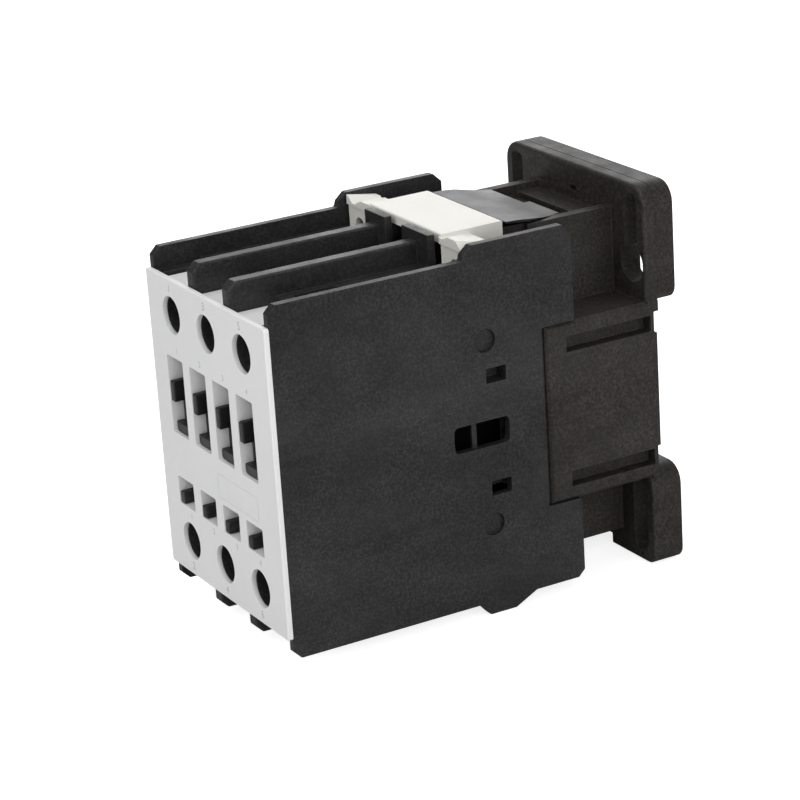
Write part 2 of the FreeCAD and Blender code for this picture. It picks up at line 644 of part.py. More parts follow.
def base_additions():
    """Roof slope and beam, ribs that centre the fixed core, and columns for the housing screws."""
    ribs = [make_slope(), make_beam()]
    for side in SIDES.values():
        for end in ENDS.values():
            ribs.append(box(mirrored("rib_inner", "tub_inner + wall / 2", side),
                            ("rib_start", "fixed_rear"), mirrored("rib_low", "rib_high", end)))
            column = box(mirrored("boss_inner", "block_inner + wall / 2", side),
                         ("middle_rear", "column_start"), around(f"{end} * boss_height", "boss_half"))
            hole = bore(f"{side} * boss_across", ("middle_rear - wall", "column_start + wall"),
                        f"{end} * boss_height", "case_clear")
            ribs.append(cut(column, [hole]))
    return ribs


def make_base():
    finish(fused([cut(fused(base_solids()), base_openings())] + base_additions()), "base")


# Main terminals and contacts

def make_strap(name, centre, end):
    strap = box(around(centre, "strap_half"), ("strap_front", "partition_front"),
                mirrored("strap_inner", "strap_outer", end))
    hole = bore(centre, ("strap_front - wall", "partition_front + wall"), f"{end} * hole_height",
                "thread_hole")
    finish(cut(strap, [hole]), name)


def tip_box(centre, end, depth):
    return box(around(centre, "tip_half"), depth, mirrored("tip_inner", "tip_outer", end))


def make_fixed_tips():
    tips = []
    for end in ENDS.values():
        for centre in POLES.values():
            tips.append(tip_box(centre, end, ("strap_front - tip_thick", "strap_front")))
    group = doc.addObject("Part::Compound", "Compound")
    group.Links = tips
    finish(group, "fixed_contact_tips")


def make_clamp(name, centre, end):
    """A square clamp washer with two turned-down edges that guide it along the strap."""
    height = f"{end} * hole_height"
    depth = ("strap_front - washer_thick", "strap_front")
    plate = box(around(centre, "washer_half"), depth, around(height, "washer_half"))
    rim = box(around(centre, "washer_half"), ("strap_front - washer_thick - washer_lip", "strap_front"),
              around(height, "washer_half"))
    dish = box(around(centre, "washer_half - washer_lip"),
               ("strap_front - wall - washer_thick", "strap_front - washer_thick"),
               around(height, "washer_half + wall"))
    hole = bore(centre, ("strap_front - 2 * wall", "strap_front + wall"), height, "washer_hole")
    finish(cut(fused([plate, rim]), [dish, hole]), name)


def make_terminal_screw(name, centre, end):
    front = "strap_front - washer_thick - screw_head_high"
    body = screw((centre, front, f"{end} * hole_height"), "screw_head", "screw_head_high",
                 "screw_shank", "screw_long", ("cross_long", "cross_wide", "cross_deep"))
    finish(body, name)


def bridge_depth():
    """The depth span of a contact bridge in the open state."""
    rear = "strap_front - 2 * tip_thick - contact_gap"
    return f"{rear} - bridge_thick", rear


def make_bridge(number, centre):
    front, rear = bridge_depth()
    finish(box(around(centre, "bridge_half"), (front, rear), both("bridge_reach")),
           f"contact_bridge_{number}")
    tips = doc.addObject("Part::Compound", "Compound")
    tips.Links = [tip_box(centre, end, (rear, f"{rear} + tip_thick")) for end in ENDS.values()]
    finish(tips, f"moving_contact_tips_{number}")


def make_contact_spring(number, centre):
    front, _ = bridge_depth()
    start = "cell_front + contact_wire + spring_seat"
    length = f"({front}) - contact_wire - spring_seat - ({start})"
    finish(spring(centre, start, "0 * wall", "Y", "contact_spring", "contact_wire", "contact_pitch",
                  length), f"contact_spring_{number}")


# Contact carrier and its link to the moving core

def make_carrier():
    _, bridge_rear = bridge_depth()
    solids = [box(both("bar_half_width"), ("bar_front", "bar_rear"), both("bar_half_height"))]
    for side in SIDES.values():
        solids.append(box(mirrored("arm_inner", "arm_outer", side), ("bar_rear", "arm_rear"),
                          both("arm_half")))
        solids.append(box(mirrored("arm_inner", "ear_outer", side), ("bar_rear", "ear_rear"),
                          both("ear_half")))
    for index in range(4):
        left, right = slot_span(index)
        hook = (f"{left} + hook_inset", f"{left} + hook_inset + hook_wide")
        low = "-upper_low + foot_inset"
        solids.append(box(hook, ("hook_front", "bar_front"), (low, "head_high")))
        solids.append(box(hook, ("head_front", "hook_front"), ("head_low", "head_high")))
        solids.append(box((f"{left} + foot_inset", f"{right} - foot_inset"), ("foot_front", "bar_front"),
                          (low, "foot_high")))
    tools = [rod("X", ("-total_width / 2", "pin_depth", "0 * wall"), "total_width",
                 "pin_radius + pin_gap / 2")]
    for centre in POLES.values():
        tools.append(box(around(centre, "cell_half"), ("cell_front", f"{bridge_rear} + cell_gap"),
                         both("bar_half_height + wall")))
    finish(cut(fused(solids), tools), "contact_carrier")


def make_core_pin():
    finish(rod("X", ("-pin_half", "pin_depth", "0 * wall"), "2 * pin_half", "pin_radius"), "core_pin")


# Magnet

def core_outline(yoke_back, yoke_front, pole):
    """An E-shaped core outline as (depth, z), with its three legs ending at the pole plane."""
    top = "core_half_height"
    return [
        (yoke_back, f"-{top}"), (yoke_back, top), (pole, top), (pole, f"{top} - leg_width"),
        (yoke_front, f"{top} - leg_width"), (yoke_front, "leg_width"), (pole, "leg_width"),
        (pole, "-leg_width"), (yoke_front, "-leg_width"), (yoke_front, f"-{top} + leg_width"),
        (pole, f"-{top} + leg_width"), (pole, f"-{top}"),
    ]


def make_core(yoke_back, yoke_front, pole):
    body = new_body("-core_half_width", "0 * wall", "0 * wall")
    pad(body, "YZ_Plane", core_outline(yoke_back, yoke_front, pole), "2 * core_half_width")
    return body


def make_moving_core():
    body = make_core("moving_front", "moving_front + moving_yoke", "moving_pole")
    hole = rod("X", ("-total_width / 2", "pin_depth", "0 * wall"), "total_width",
               "pin_radius + pin_gap")
    finish(cut(body, [hole]), "moving_core")


def make_fixed_core():
    body = make_core("fixed_rear", "fixed_yoke", "fixed_pole")
    grooves = [box(both("core_half_width + wall"), ("fixed_pole - wall", "fixed_pole + groove_deep"),
                   mirrored("groove_low", "groove_high", end)) for end in ENDS.values()]
    finish(cut(body, grooves), "fixed_core")


def make_shading_rings():
    """A copper ring round part of each outer pole of the fixed core."""
    rings = []
    for end in ENDS.values():
        inner = mirrored("groove_low + ring_gap + ring_thick", "core_half_height + ring_gap", end)
        outer = mirrored("groove_low + ring_gap", "core_half_height + ring_gap + ring_thick", end)
        solid = box(both("core_half_width + ring_gap + ring_thick"), ("ring_front", "ring_rear"), outer)
        hole = box(both("core_half_width + ring_gap"), ("ring_front - wall", "ring_rear + wall"), inner)
        rings.append(cut(solid, [hole]))
    group = doc.addObject("Part::Compound", "Compound")
    group.Links = rings
    finish(group, "shading_rings")


def make_core_cushion():
    finish(box(both("core_half_width"), ("fixed_rear", "cushion_rear"), both("core_half_height")),
           "core_cushion")


# Coil

def hub_half(extra):
    """Half the hub opening across X and Z, grown by an extra wall."""
    return f"core_half_width + hub_gap + {extra}", f"leg_width + hub_gap + {extra}"


def make_bobbin():
    flange = (both("flange_half_width"), both("flange_half_height"))
    hub_x, hub_z = hub_half("hub_thick")
    hole_x, hole_z = hub_half("0 * wall")
    solids = [
        box(flange[0], ("bobbin_front", "bobbin_front + flange_thick"), flange[1]),
        box(flange[0], ("bobbin_rear - flange_thick", "bobbin_rear"), flange[1]),
        box(both(hub_x), ("bobbin_front", "bobbin_rear"), both(hub_z)),
    ]
    for side in SIDES.values():
        solids.append(box(mirrored("tower_inner", "tower_outer", side),
                          ("bobbin_front", "bobbin_front + tower_thick"),
                          ("flange_half_height - wall", "tower_top")))
    hole = box(both(hole_x), ("bobbin_front - wall", "bobbin_rear + wall"), both(hole_z))
    finish(cut(fused(solids), [hole]), "coil_bobbin")


COIL_DEPTH = ("bobbin_front + tower_thick + coil_gap", "bobbin_rear - flange_thick - coil_gap")


def rounded_block(extra):
    """The outline of the coil, grown by an extra, as a block with rounded corners."""
    body = new_body("0 * wall", COIL_DEPTH[1], "0 * wall")
    outline = rectangle(both(f"coil_half_width + {extra}"), both(f"coil_half_height + {extra}"))
    pad(body, "XZ_Plane", outline, f"({COIL_DEPTH[1]}) - ({COIL_DEPTH[0]})")
    round_edges(body, f"coil_corner + {extra}", along_y)
    return body


def make_winding():
    hub_x, hub_z = hub_half("hub_thick + coil_gap")
    hole = box(both(hub_x), (f"{COIL_DEPTH[0]} - wall", f"{COIL_DEPTH[1]} + wall"), both(hub_z))
    finish(cut(rounded_block("0 * wall"), [hole]), "coil_winding")


def make_tape():
    tape = rounded_block("coil_gap + tape_thick")
    finish(cut(tape, [rounded_block("coil_gap")]), "coil_tape")


def make_leads():
    depth = "coil_strap_front - lead_radius - coil_gap"
    leads = [rod("Z", (f"{side} * lead_across", depth, "lead_bottom"), "tail_top - lead_bottom",
                 "lead_radius") for side in SIDES.values()]
    group = doc.addObject("Part::Compound", "Compound")
    group.Links = leads
    finish(group, "coil_leads")


# Coil terminal head

def make_wing(side):
    """A side wing of the coil terminal head, with a sloped cap."""
    start = "tower_outer + coil_gap" if side > 0 else "-wing_half"
    body = new_body(start, "0 * wall", "0 * wall")
    pad(body, "YZ_Plane", [
        ("head_start", "wing_bottom"), ("head_start", "wing_front"), ("wing_crest", "wing_crest_top"),
        ("wing_slope_end", "wing_crest_top"), ("wing_end", "wing_top"), ("wing_end", "wing_bottom"),
    ], "wing_half - tower_outer - coil_gap")
    return body


def make_terminal_head():
    solids = [box(both("head_half"), ("head_start", "head_end"), ("head_bottom", "head_top"))]
    tools = []
    for side in SIDES.values():
        solids.append(make_wing(side))
        tools.append(box(around(f"{side} * coil_screw_across", "chamber_half"),
                         ("chamber_front", "chamber_rear"), ("wing_bottom - wall", "chamber_top")))
        tools.append(bore(f"{side} * coil_screw_across", ("head_start - wall", "chamber_front + wall"),
                          "coil_screw_height", "coil_hole"))
        tools.append(bore(f"{side} * coil_screw_across", ("chamber_rear - wall / 4", "wing_end + wall"),
                          "coil_screw_height", "coil_washer_hole"))
        tools.append(box(mirrored("tail_inner - coil_gap", "coil_screw_across", side),
                         ("coil_strap_front - wall / 2", "coil_strap_front + coil_strap_thick + coil_gap"),
                         ("wing_bottom - wall", "tail_top + coil_gap")))
    finish(cut(fused(solids), tools), "coil_terminal_head")


def make_coil_terminal(name, side):
    centre = f"{side} * coil_screw_across"
    depth = ("coil_strap_front", "coil_strap_front + coil_strap_thick")
    strap = box(around(centre, "chamber_half - coil_gap"), depth,
                ("tail_bottom", "chamber_top - coil_gap"))
    tail = box(mirrored("tail_inner", "coil_screw_across", side), depth, ("tail_bottom", "tail_top"))
    hole = bore(centre, ("coil_strap_front - wall", "coil_strap_front + wall"), "coil_screw_height",
                "coil_thread_hole")
    finish(cut(fused([strap, tail]), [hole]), name)


def make_coil_clamp(name, side):
    centre = f"{side} * coil_screw_across"
    depth = ("coil_strap_front - coil_washer_thick", "coil_strap_front")
    plate = box(around(centre, "coil_washer_half"), depth,
                around("coil_screw_height", "coil_washer_half - coil_gap"))
    hole = bore(centre, ("coil_strap_front - wall", "coil_strap_front + wall"), "coil_screw_height",
                "coil_washer_hole")
    finish(cut(plate, [hole]), name)


def make_coil_screw(name, side):
    front = "coil_strap_front - coil_washer_thick - coil_head_high"
    body = screw((f"{side} * coil_screw_across", front, "coil_screw_height"), "coil_head",
                 "coil_head_high", "coil_shank", "coil_screw_long",
                 ("coil_cross", "coil_cross_wide", "coil_cross_deep"))
    finish(body, name)


# Return springs, housing screws, rail clip

def make_return_spring(name, side):
    start = "arm_rear + return_wire + spring_seat"
    length = f"bobbin_front - return_wire - spring_seat - ({start})"
    finish(spring(f"{side} * return_across", start, "0 * wall", "Y", "return_spring", "return_wire",
                  "return_pitch", length), name)


def make_housing_screws():
    """Four long screws that enter from the rear and join the base to the housing."""
    screws = []
    for side in SIDES.values():
        for end in ENDS.values():
            long = "case_head_high + case_long"
            body = screw(("0 * wall", "total_depth", "0 * wall"), "case_head", "case_head_high",
                         "case_shank", "case_long", ("case_cross", "case_cross_wide", "case_cross_deep"))
            half_turn = FreeCAD.Rotation(FreeCAD.Vector(0, 0, 1), 180)
            body.Placement = FreeCAD.Placement(FreeCAD.Vector(), half_turn)
            place(body, f"{side} * boss_across", f"case_seat - case_long + {long}", f"{end} * boss_height")
            screws.append(body)
    group = doc.addObject("Part::Compound", "Compound")
    group.Links = screws
    finish(group, "housing_screws")


def make_rail_clip():
    body = new_body("-clip_half", "0 * wall", "0 * wall")
    pad(body, "YZ_Plane", [
        ("clip_front", "-clip_bottom"), ("clip_front", "-clip_top"),
        ("clip_rear - clip_lip_bevel", "-clip_top"), ("clip_rear", "-clip_top - clip_lip_bevel"),
        ("clip_rear", "-clip_bottom"),
    ], "2 * clip_half")
    tongues = [box(mirrored("clip_half - wall", "tongue_reach", side), ("tongue_front", "tongue_rear"),
                   ("-clip_bottom", "-tongue_top")) for side in SIDES.values()]
    tools = [
        box(both("clip_window"), ("clip_front - wall", "clip_rear + wall"),
            ("-clip_window_low", "-clip_window_high")),
        box(both("pry_half"), ("clip_front - wall", "clip_rear + wall"), ("-pry_low", "-pry_high")),
    ]
    finish(cut(fused([body] + tongues), tools), "rail_clip")


def make_clip_spring():
    start = "-lug_high + clip_spring_wire + spring_seat"
    length = f"-clip_window_high - clip_spring_wire - spring_seat - ({start})"
    finish(spring("0 * wall", "(clip_front + clip_rear) / 2", start, "Z", "clip_spring",
                  "clip_spring_wire", "clip_spring_pitch", length), "rail_clip_spring")


# Build, check and write

def build():
    make_front_cover()
    make_housing()
    make_base()
    for end_name, end in ENDS.items():
        for number, centre in POLES.items():
            make_strap(f"{end_name}_terminal_{number}", centre, end)
            make_clamp(f"{end_name}_clamp_{number}", centre, end)
            make_terminal_screw(f"{end_name}_screw_{number}", centre, end)
    make_fixed_tips()
    make_carrier()
    for number, centre in POLES.items():
        make_bridge(number, centre)
        make_contact_spring(number, centre)
    make_core_pin()
    make_moving_core()
    make_fixed_core()
    make_shading_rings()
    make_core_cushion()
    make_bobbin()
    make_winding()
    make_tape()
    make_leads()
    make_terminal_head()
    for side_name, side in SIDES.items():
        make_coil_terminal(f"coil_terminal_{side_name}", side)
        make_coil_clamp(f"coil_clamp_{side_name}", side)
        make_coil_screw(f"coil_screw_{side_name}", side)
        make_return_spring(f"return_spring_{side_name}", side)
    make_housing_screws()
    make_rail_clip()
    make_clip_spring()
    doc.recompute()


def check():
    """Stop if any object failed to build or any sub-part is not a valid solid."""
    failed = [item.Label for item in doc.Objects if {"Invalid", "Error"} & set(item.State)]
    for item in nodes:
        if item.Shape.isNull() or not item.Shape.isValid() or not item.Shape.Solids:
            failed.append(item.Label)
    if failed:
        raise RuntimeError(f"failed: {sorted(set(failed))}")


def write():
    os.makedirs("parts", exist_ok=True)
    for item in nodes:
        item.Shape.exportStep(f"parts/{item.Label}.step")


build()
check()
write()
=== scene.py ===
import math

import bmesh
import bpy
from mathutils import Matrix, Vector


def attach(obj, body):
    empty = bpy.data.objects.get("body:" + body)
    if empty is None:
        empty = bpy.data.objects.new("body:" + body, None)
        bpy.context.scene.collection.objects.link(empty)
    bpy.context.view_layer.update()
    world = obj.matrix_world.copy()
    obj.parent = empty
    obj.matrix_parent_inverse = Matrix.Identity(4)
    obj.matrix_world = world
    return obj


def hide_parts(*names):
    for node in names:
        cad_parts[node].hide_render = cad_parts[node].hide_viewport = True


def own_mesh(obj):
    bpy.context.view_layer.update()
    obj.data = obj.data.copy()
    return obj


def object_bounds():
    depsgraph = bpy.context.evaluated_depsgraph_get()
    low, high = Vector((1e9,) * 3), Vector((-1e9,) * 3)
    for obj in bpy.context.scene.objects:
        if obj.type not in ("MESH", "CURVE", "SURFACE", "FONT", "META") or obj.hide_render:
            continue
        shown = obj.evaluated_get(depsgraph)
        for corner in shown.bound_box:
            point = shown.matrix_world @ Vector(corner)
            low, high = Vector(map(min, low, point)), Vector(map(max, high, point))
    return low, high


# Three-pole motor contactor. Shapes are made in millimetres as (x, depth, z), where depth is the distance
# behind the front face, and are brought into the row frame when a piece is finished.

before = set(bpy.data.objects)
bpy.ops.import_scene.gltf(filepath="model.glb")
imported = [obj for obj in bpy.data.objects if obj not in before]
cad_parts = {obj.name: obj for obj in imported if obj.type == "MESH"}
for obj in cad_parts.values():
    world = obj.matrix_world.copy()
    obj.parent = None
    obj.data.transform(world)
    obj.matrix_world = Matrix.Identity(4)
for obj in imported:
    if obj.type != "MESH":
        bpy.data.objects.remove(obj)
cad_box = [list(corner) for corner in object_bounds()]
MM = 0.001
HALF_WIDTH = 27.5
TOTAL_DEPTH = 98.2
FLANGE_FRONT = 90.6
WEB_REAR = 94.9
POLES = {1: -16.3, 2: 0.0, 3: 16.3}
ENDS = {"line": 1, "load": -1}
SIDES = {"left": -1, "right": 1}
UP_DOWN = tuple(ENDS.values())
LEFT_RIGHT = tuple(SIDES.values())
HOLE_HEIGHT = 25.7
DRIVER_HOLE = 4.15
MOUNT_SLOT_ACROSS = 22.5
CASE_SCREW_ACROSS, CASE_SCREW_HEIGHT = 22.0, 10.0
COIL_SCREW_ACROSS, COIL_SCREW_HEIGHT = 20.3, 34.9

WELD = 0.004
BEVEL_ANGLE = 32
SHADING_ANGLE = 42


# Outlines

def rect(across, along):
    return [(across[0], along[0]), (across[1], along[0]), (across[1], along[1]), (across[0], along[1])]


def circle(centre, radius, count=48):
    turn = 2 * math.pi / count
    return [(centre[0] + radius * math.cos(turn * k), centre[1] + radius * math.sin(turn * k))
            for k in range(count)]


def rounded(outline, radius, steps=4):
    """Replace each corner by an arc; radius is one number or one for each corner."""
    radii = radius if isinstance(radius, (list, tuple)) else [radius] * len(outline)
    made = []
    count = len(outline)
    for index, corner in enumerate(outline):
        here = Vector(corner)
        to_last = Vector(outline[index - 1]) - here
        to_next = Vector(outline[(index + 1) % count]) - here
        room = 0.48 * min(to_last.length, to_next.length)
        to_last.normalize()
        to_next.normalize()
        half = to_last.angle(to_next) / 2
        if radii[index] <= 0 or half > math.radians(88):
            made.append(tuple(here))
            continue
        tangent = min(radii[index] / math.tan(half), room)
        arc = tangent * math.tan(half)
        centre = here + (to_last + to_next).normalized() * (arc / math.sin(half))
        first = here + to_last * tangent - centre
        last = here + to_next * tangent - centre
        sweep = first.angle_signed(last)
        for step in range(steps + 1):
            turned = Matrix.Rotation(-sweep * step / steps, 2) @ first
            made.append(tuple(centre + turned))
    return made


def card(x, z, radius, steps=4):
    """A rectangle with rounded corners."""
    return rounded(rect(x, z), radius, steps)


def inset(outline, amount):
    """Move an outline inwards by an amount."""
    area = sum(a[0] * b[1] - b[0] * a[1] for a, b in zip(outline, outline[1:] + outline[:1]))
    sign = 1 if area > 0 else -1
    moved = []
    count = len(outline)
    for index, corner in enumerate(outline):
        here = Vector(corner)
        before = (here - Vector(outline[index - 1])).normalized()
        after = (Vector(outline[(index + 1) % count]) - here).normalized()
        normal_a = Vector((-before.y, before.x)) * sign
        normal_b = Vector((-after.y, after.x)) * sign
        shift = (normal_a + normal_b) / max(0.4, 1 + normal_a.dot(normal_b))
        moved.append(tuple(here + shift * amount))
    return moved


# Solids, as bmeshes in (x, depth, z)

def spot(axis, point, level):
    if axis == "x":
        return Vector((level, point[0], point[1]))
    if axis == "y":
        return Vector((point[0], level, point[1]))
    return Vector((point[0], point[1], level))


def skin(rings):
    """A closed surface through rings of equal count."""
    mesh = bmesh.new()
    rows = [[mesh.verts.new(point) for point in ring] for ring in rings]
    count = len(rows[0])
    for low, high in zip(rows, rows[1:]):
        for k in range(count):
            after = (k + 1) % count
            mesh.faces.new((low[k], low[after], high[after], high[k]))
    mesh.faces.new(reversed(rows[0]))
    mesh.faces.new(rows[-1])
    bmesh.ops.recalc_face_normals(mesh, faces=mesh.faces)
    return mesh


def prism(axis, outline, low, high, soft=(0, 0), steps=3):
    """An outline pushed along an axis, with an optional rounded rim at each end."""
    rings = []
    for k in range(steps + 1 if soft[0] else 1):
        angle = math.pi / 2 * k / steps
        edge = inset(outline, soft[0] * (1 - math.sin(angle)))
        rings.append([spot(axis, point, low + soft[0] * (1 - math.cos(angle))) for point in edge])
    for k in range(steps + 1 if soft[1] else 1):
        angle = math.pi / 2 * (1 - k / steps)
        edge = inset(outline, soft[1] * (1 - math.sin(angle)))
        rings.append([spot(axis, point, high - soft[1] * (1 - math.cos(angle))) for point in edge])
    return skin(rings)


def block(x, depth, z):
    return prism("y", rect(x, z), depth[0], depth[1])


def rod(axis, centre, low, high, radius, count=48):
    return prism(axis, circle(centre, radius, count), low, high)


def lathe(centre, profile, count=48):
    """A solid turned about a line along Y; profile is (radius, depth) from axis to axis."""
    rings = []
    for radius, depth in profile:
        reach = max(radius, 0.0005)
        rings.append([Vector((point[0], depth, point[1])) for point in circle(centre, reach, count)])
    return skin(rings)


def span(near, far, side):
    return (near, far) if side > 0 else (-far, -near)


def around(centre, half):
    return centre - half, centre + half


# Joining solids

def as_object(mesh):
    data = bpy.data.meshes.new("work")
    mesh.to_mesh(data)
    mesh.free()
    item = bpy.data.objects.new("work", data)
    bpy.context.scene.collection.objects.link(item)
    return item


def combine(added, removed=()):
    """The union of some solids less some others, as a bmesh."""
    items = [as_object(mesh) for mesh in added]
    tools = [as_object(mesh) for mesh in removed]
    base = items[0]
    for operation, others in (("UNION", items[1:]), ("DIFFERENCE", tools)):
        for other in others:
            step = base.modifiers.new("step", "BOOLEAN")
            step.operation = operation
            step.solver = "MANIFOLD"
            step.object = other
    bpy.context.view_layer.update()
    graph = bpy.context.evaluated_depsgraph_get()
    made = bmesh.new()
    made.from_mesh(base.evaluated_get(graph).to_mesh())
    for item in items + tools:
        data = item.data
        bpy.data.objects.remove(item)
        bpy.data.meshes.remove(data)
    return made


def has_room(edge, width):
    """Whether the faces at an edge are wide enough for it to be rounded."""
    along = (edge.verts[1].co - edge.verts[0].co).normalized()
    for loop in edge.link_loops:
        if 2 * loop.face.calc_area() < width * loop.face.calc_perimeter():
            return False
        for near in (loop.link_loop_prev.edge, loop.link_loop_next.edge):
            reach = near.verts[1].co - near.verts[0].co
            if reach.length < width and abs(reach.normalized().dot(along)) < 0.7:
                return False
    return True


def soften(mesh, width, cuts=()):
    """Clean a joined solid and round its sharp edges.

    Each cut is (axis, level), a plane through the holes of a flat face, so that no face is left with a hole.
    """
    bmesh.ops.remove_doubles(mesh, verts=mesh.verts, dist=WELD)
    bmesh.ops.dissolve_degenerate(mesh, dist=WELD, edges=mesh.edges)
    for axis, level in cuts:
        normal = Vector([float(axis == name) for name in "xyz"])
        made = bmesh.ops.bisect_plane(mesh, geom=mesh.verts[:] + mesh.edges[:] + mesh.faces[:], dist=0.001,
                plane_co=normal * level, plane_no=normal)
        for edge in made["geom_cut"]:
            if isinstance(edge, bmesh.types.BMEdge):
                edge.seam = True
    bmesh.ops.dissolve_limit(mesh, angle_limit=math.radians(0.6), verts=mesh.verts, edges=mesh.edges,
            delimit={"SEAM"})
    if width:
        sharp = [edge for edge in mesh.edges if len(edge.link_faces) == 2
                and edge.calc_face_angle(0) > math.radians(BEVEL_ANGLE) and has_room(edge, 2.1 * width)]
        bmesh.ops.bevel(mesh, geom=sharp, offset=width, offset_type="OFFSET", segments=2, profile=0.5,
                affect="EDGES", clamp_overlap=False, loop_slide=True)
    return mesh


def merge(meshes):
    """Several separate solids as one mesh."""
    made = bmesh.new()
    for mesh in meshes:
        data = bpy.data.meshes.new("part")
        mesh.to_mesh(data)
        mesh.free()
        made.from_mesh(data)
        bpy.data.meshes.remove(data)
    return made


def piece(name, mesh, body, slot, nodes, look=None):
    """Finish a piece: bring it into the row frame, shade it, and let it ride on its body.

    slot is the key of its material, and look the key of the material drawn when that is another one.
    """
    mesh.transform(Matrix.Scale(MM, 4) @ Matrix.Translation((0, -TOTAL_DEPTH, 0)))
    for vertex in mesh.verts:
        vertex.co = [min(max(place, low), high) for place, low, high in zip(vertex.co, *cad_box)]
    data = bpy.data.meshes.new(name)
    mesh.to_mesh(data)
    mesh.free()
    data.shade_smooth()
    data.set_sharp_from_angle(angle=math.radians(SHADING_ANGLE))
    item = bpy.data.objects.new(name, data)
    bpy.context.scene.collection.objects.link(item)
    even = item.modifiers.new("even", "WEIGHTED_NORMAL")
    even.keep_sharp = True
    even.weight = 80
    data.materials.append(MATERIALS[look or slot])
    if nodes:
        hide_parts(*nodes)
    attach(item, body)
    return item


# Materials

class Graph:
    """Short calls for building one node material."""

    def __init__(self, name):
        self.material = bpy.data.materials.new(name)
        self.material.use_nodes = True
        self.tree = self.material.node_tree
        self.shader = self.tree.nodes["Principled BSDF"]
        self.place = self.add("ShaderNodeTexCoord").outputs["Object"]

    def add(self, kind, **values):
        node = self.tree.nodes.new(kind)
        for key, value in values.items():
            setattr(node, key, value)
        return node

    def link(self, source, target):
        if isinstance(source, (int, float)):
            target.default_value = source
        elif isinstance(source, (tuple, list)):
            target.default_value = (*source, 1.0)[:4]
        else:
            self.tree.links.new(source, target)

    def stretched(self, scale):
        node = self.add("ShaderNodeMapping")
        node.inputs["Scale"].default_value = scale
        self.link(self.place, node.inputs["Vector"])
        return node.outputs["Vector"]

    def noise(self, scale, detail=3.0, rough=0.55, vector=None, distortion=0.0):
        node = self.add("ShaderNodeTexNoise")
        self.link(vector or self.place, node.inputs["Vector"])
        node.inputs["Scale"].default_value = scale
        node.inputs["Detail"].default_value = detail
        node.inputs["Roughness"].default_value = rough
        node.inputs["Distortion"].default_value = distortion
        return node.outputs["Fac"]

    def cells(self, scale, vector=None):
        node = self.add("ShaderNodeTexVoronoi")
        self.link(vector or self.place, node.inputs["Vector"])
        node.inputs["Scale"].default_value = scale
        return node.outputs["Distance"]

    def curve(self, value, low, high, start=0.0, end=1.0):
        node = self.add("ShaderNodeMapRange")
        node.clamp = True
        self.link(value, node.inputs["Value"])
        node.inputs["From Min"].default_value = low
        node.inputs["From Max"].default_value = high
        node.inputs["To Min"].default_value = start
        node.inputs["To Max"].default_value = end
        return node.outputs["Result"]

    def maths(self, kind, first, second=0.5):
        node = self.add("ShaderNodeMath", operation=kind)
        self.link(first, node.inputs[0])
        self.link(second, node.inputs[1])
        return node.outputs[0]

    def times(self, first, second):
        return self.maths("MULTIPLY", first, second)

    def mix(self, share, first, second, kind="MIX"):
        node = self.add("ShaderNodeMix", data_type="RGBA", blend_type=kind)
        self.link(share, node.inputs[0])
        self.link(first, node.inputs[6])
        self.link(second, node.inputs[7])
        return node.outputs[2]

    def bump(self, height, strength, distance, normal=None):
        node = self.add("ShaderNodeBump")
        node.inputs["Strength"].default_value = strength
        node.inputs["Distance"].default_value = distance
        self.link(height, node.inputs["Height"])
        if normal is not None:
            self.link(normal, node.inputs["Normal"])
        return node.outputs["Normal"]

    def edges(self, radius):
        """How close a point is to an edge, from 0 to 1."""
        bevel = self.add("ShaderNodeBevel", samples=6)
        bevel.inputs["Radius"].default_value = radius
        plain = self.add("ShaderNodeNewGeometry").outputs["Normal"]
        dot = self.add("ShaderNodeVectorMath", operation="DOT_PRODUCT")
        self.link(bevel.outputs["Normal"], dot.inputs[0])
        self.link(plain, dot.inputs[1])
        return self.curve(dot.outputs["Value"], 0.998, 0.86)


def shade(colour, factor):
    return tuple(min(1.0, channel * factor) for channel in colour)


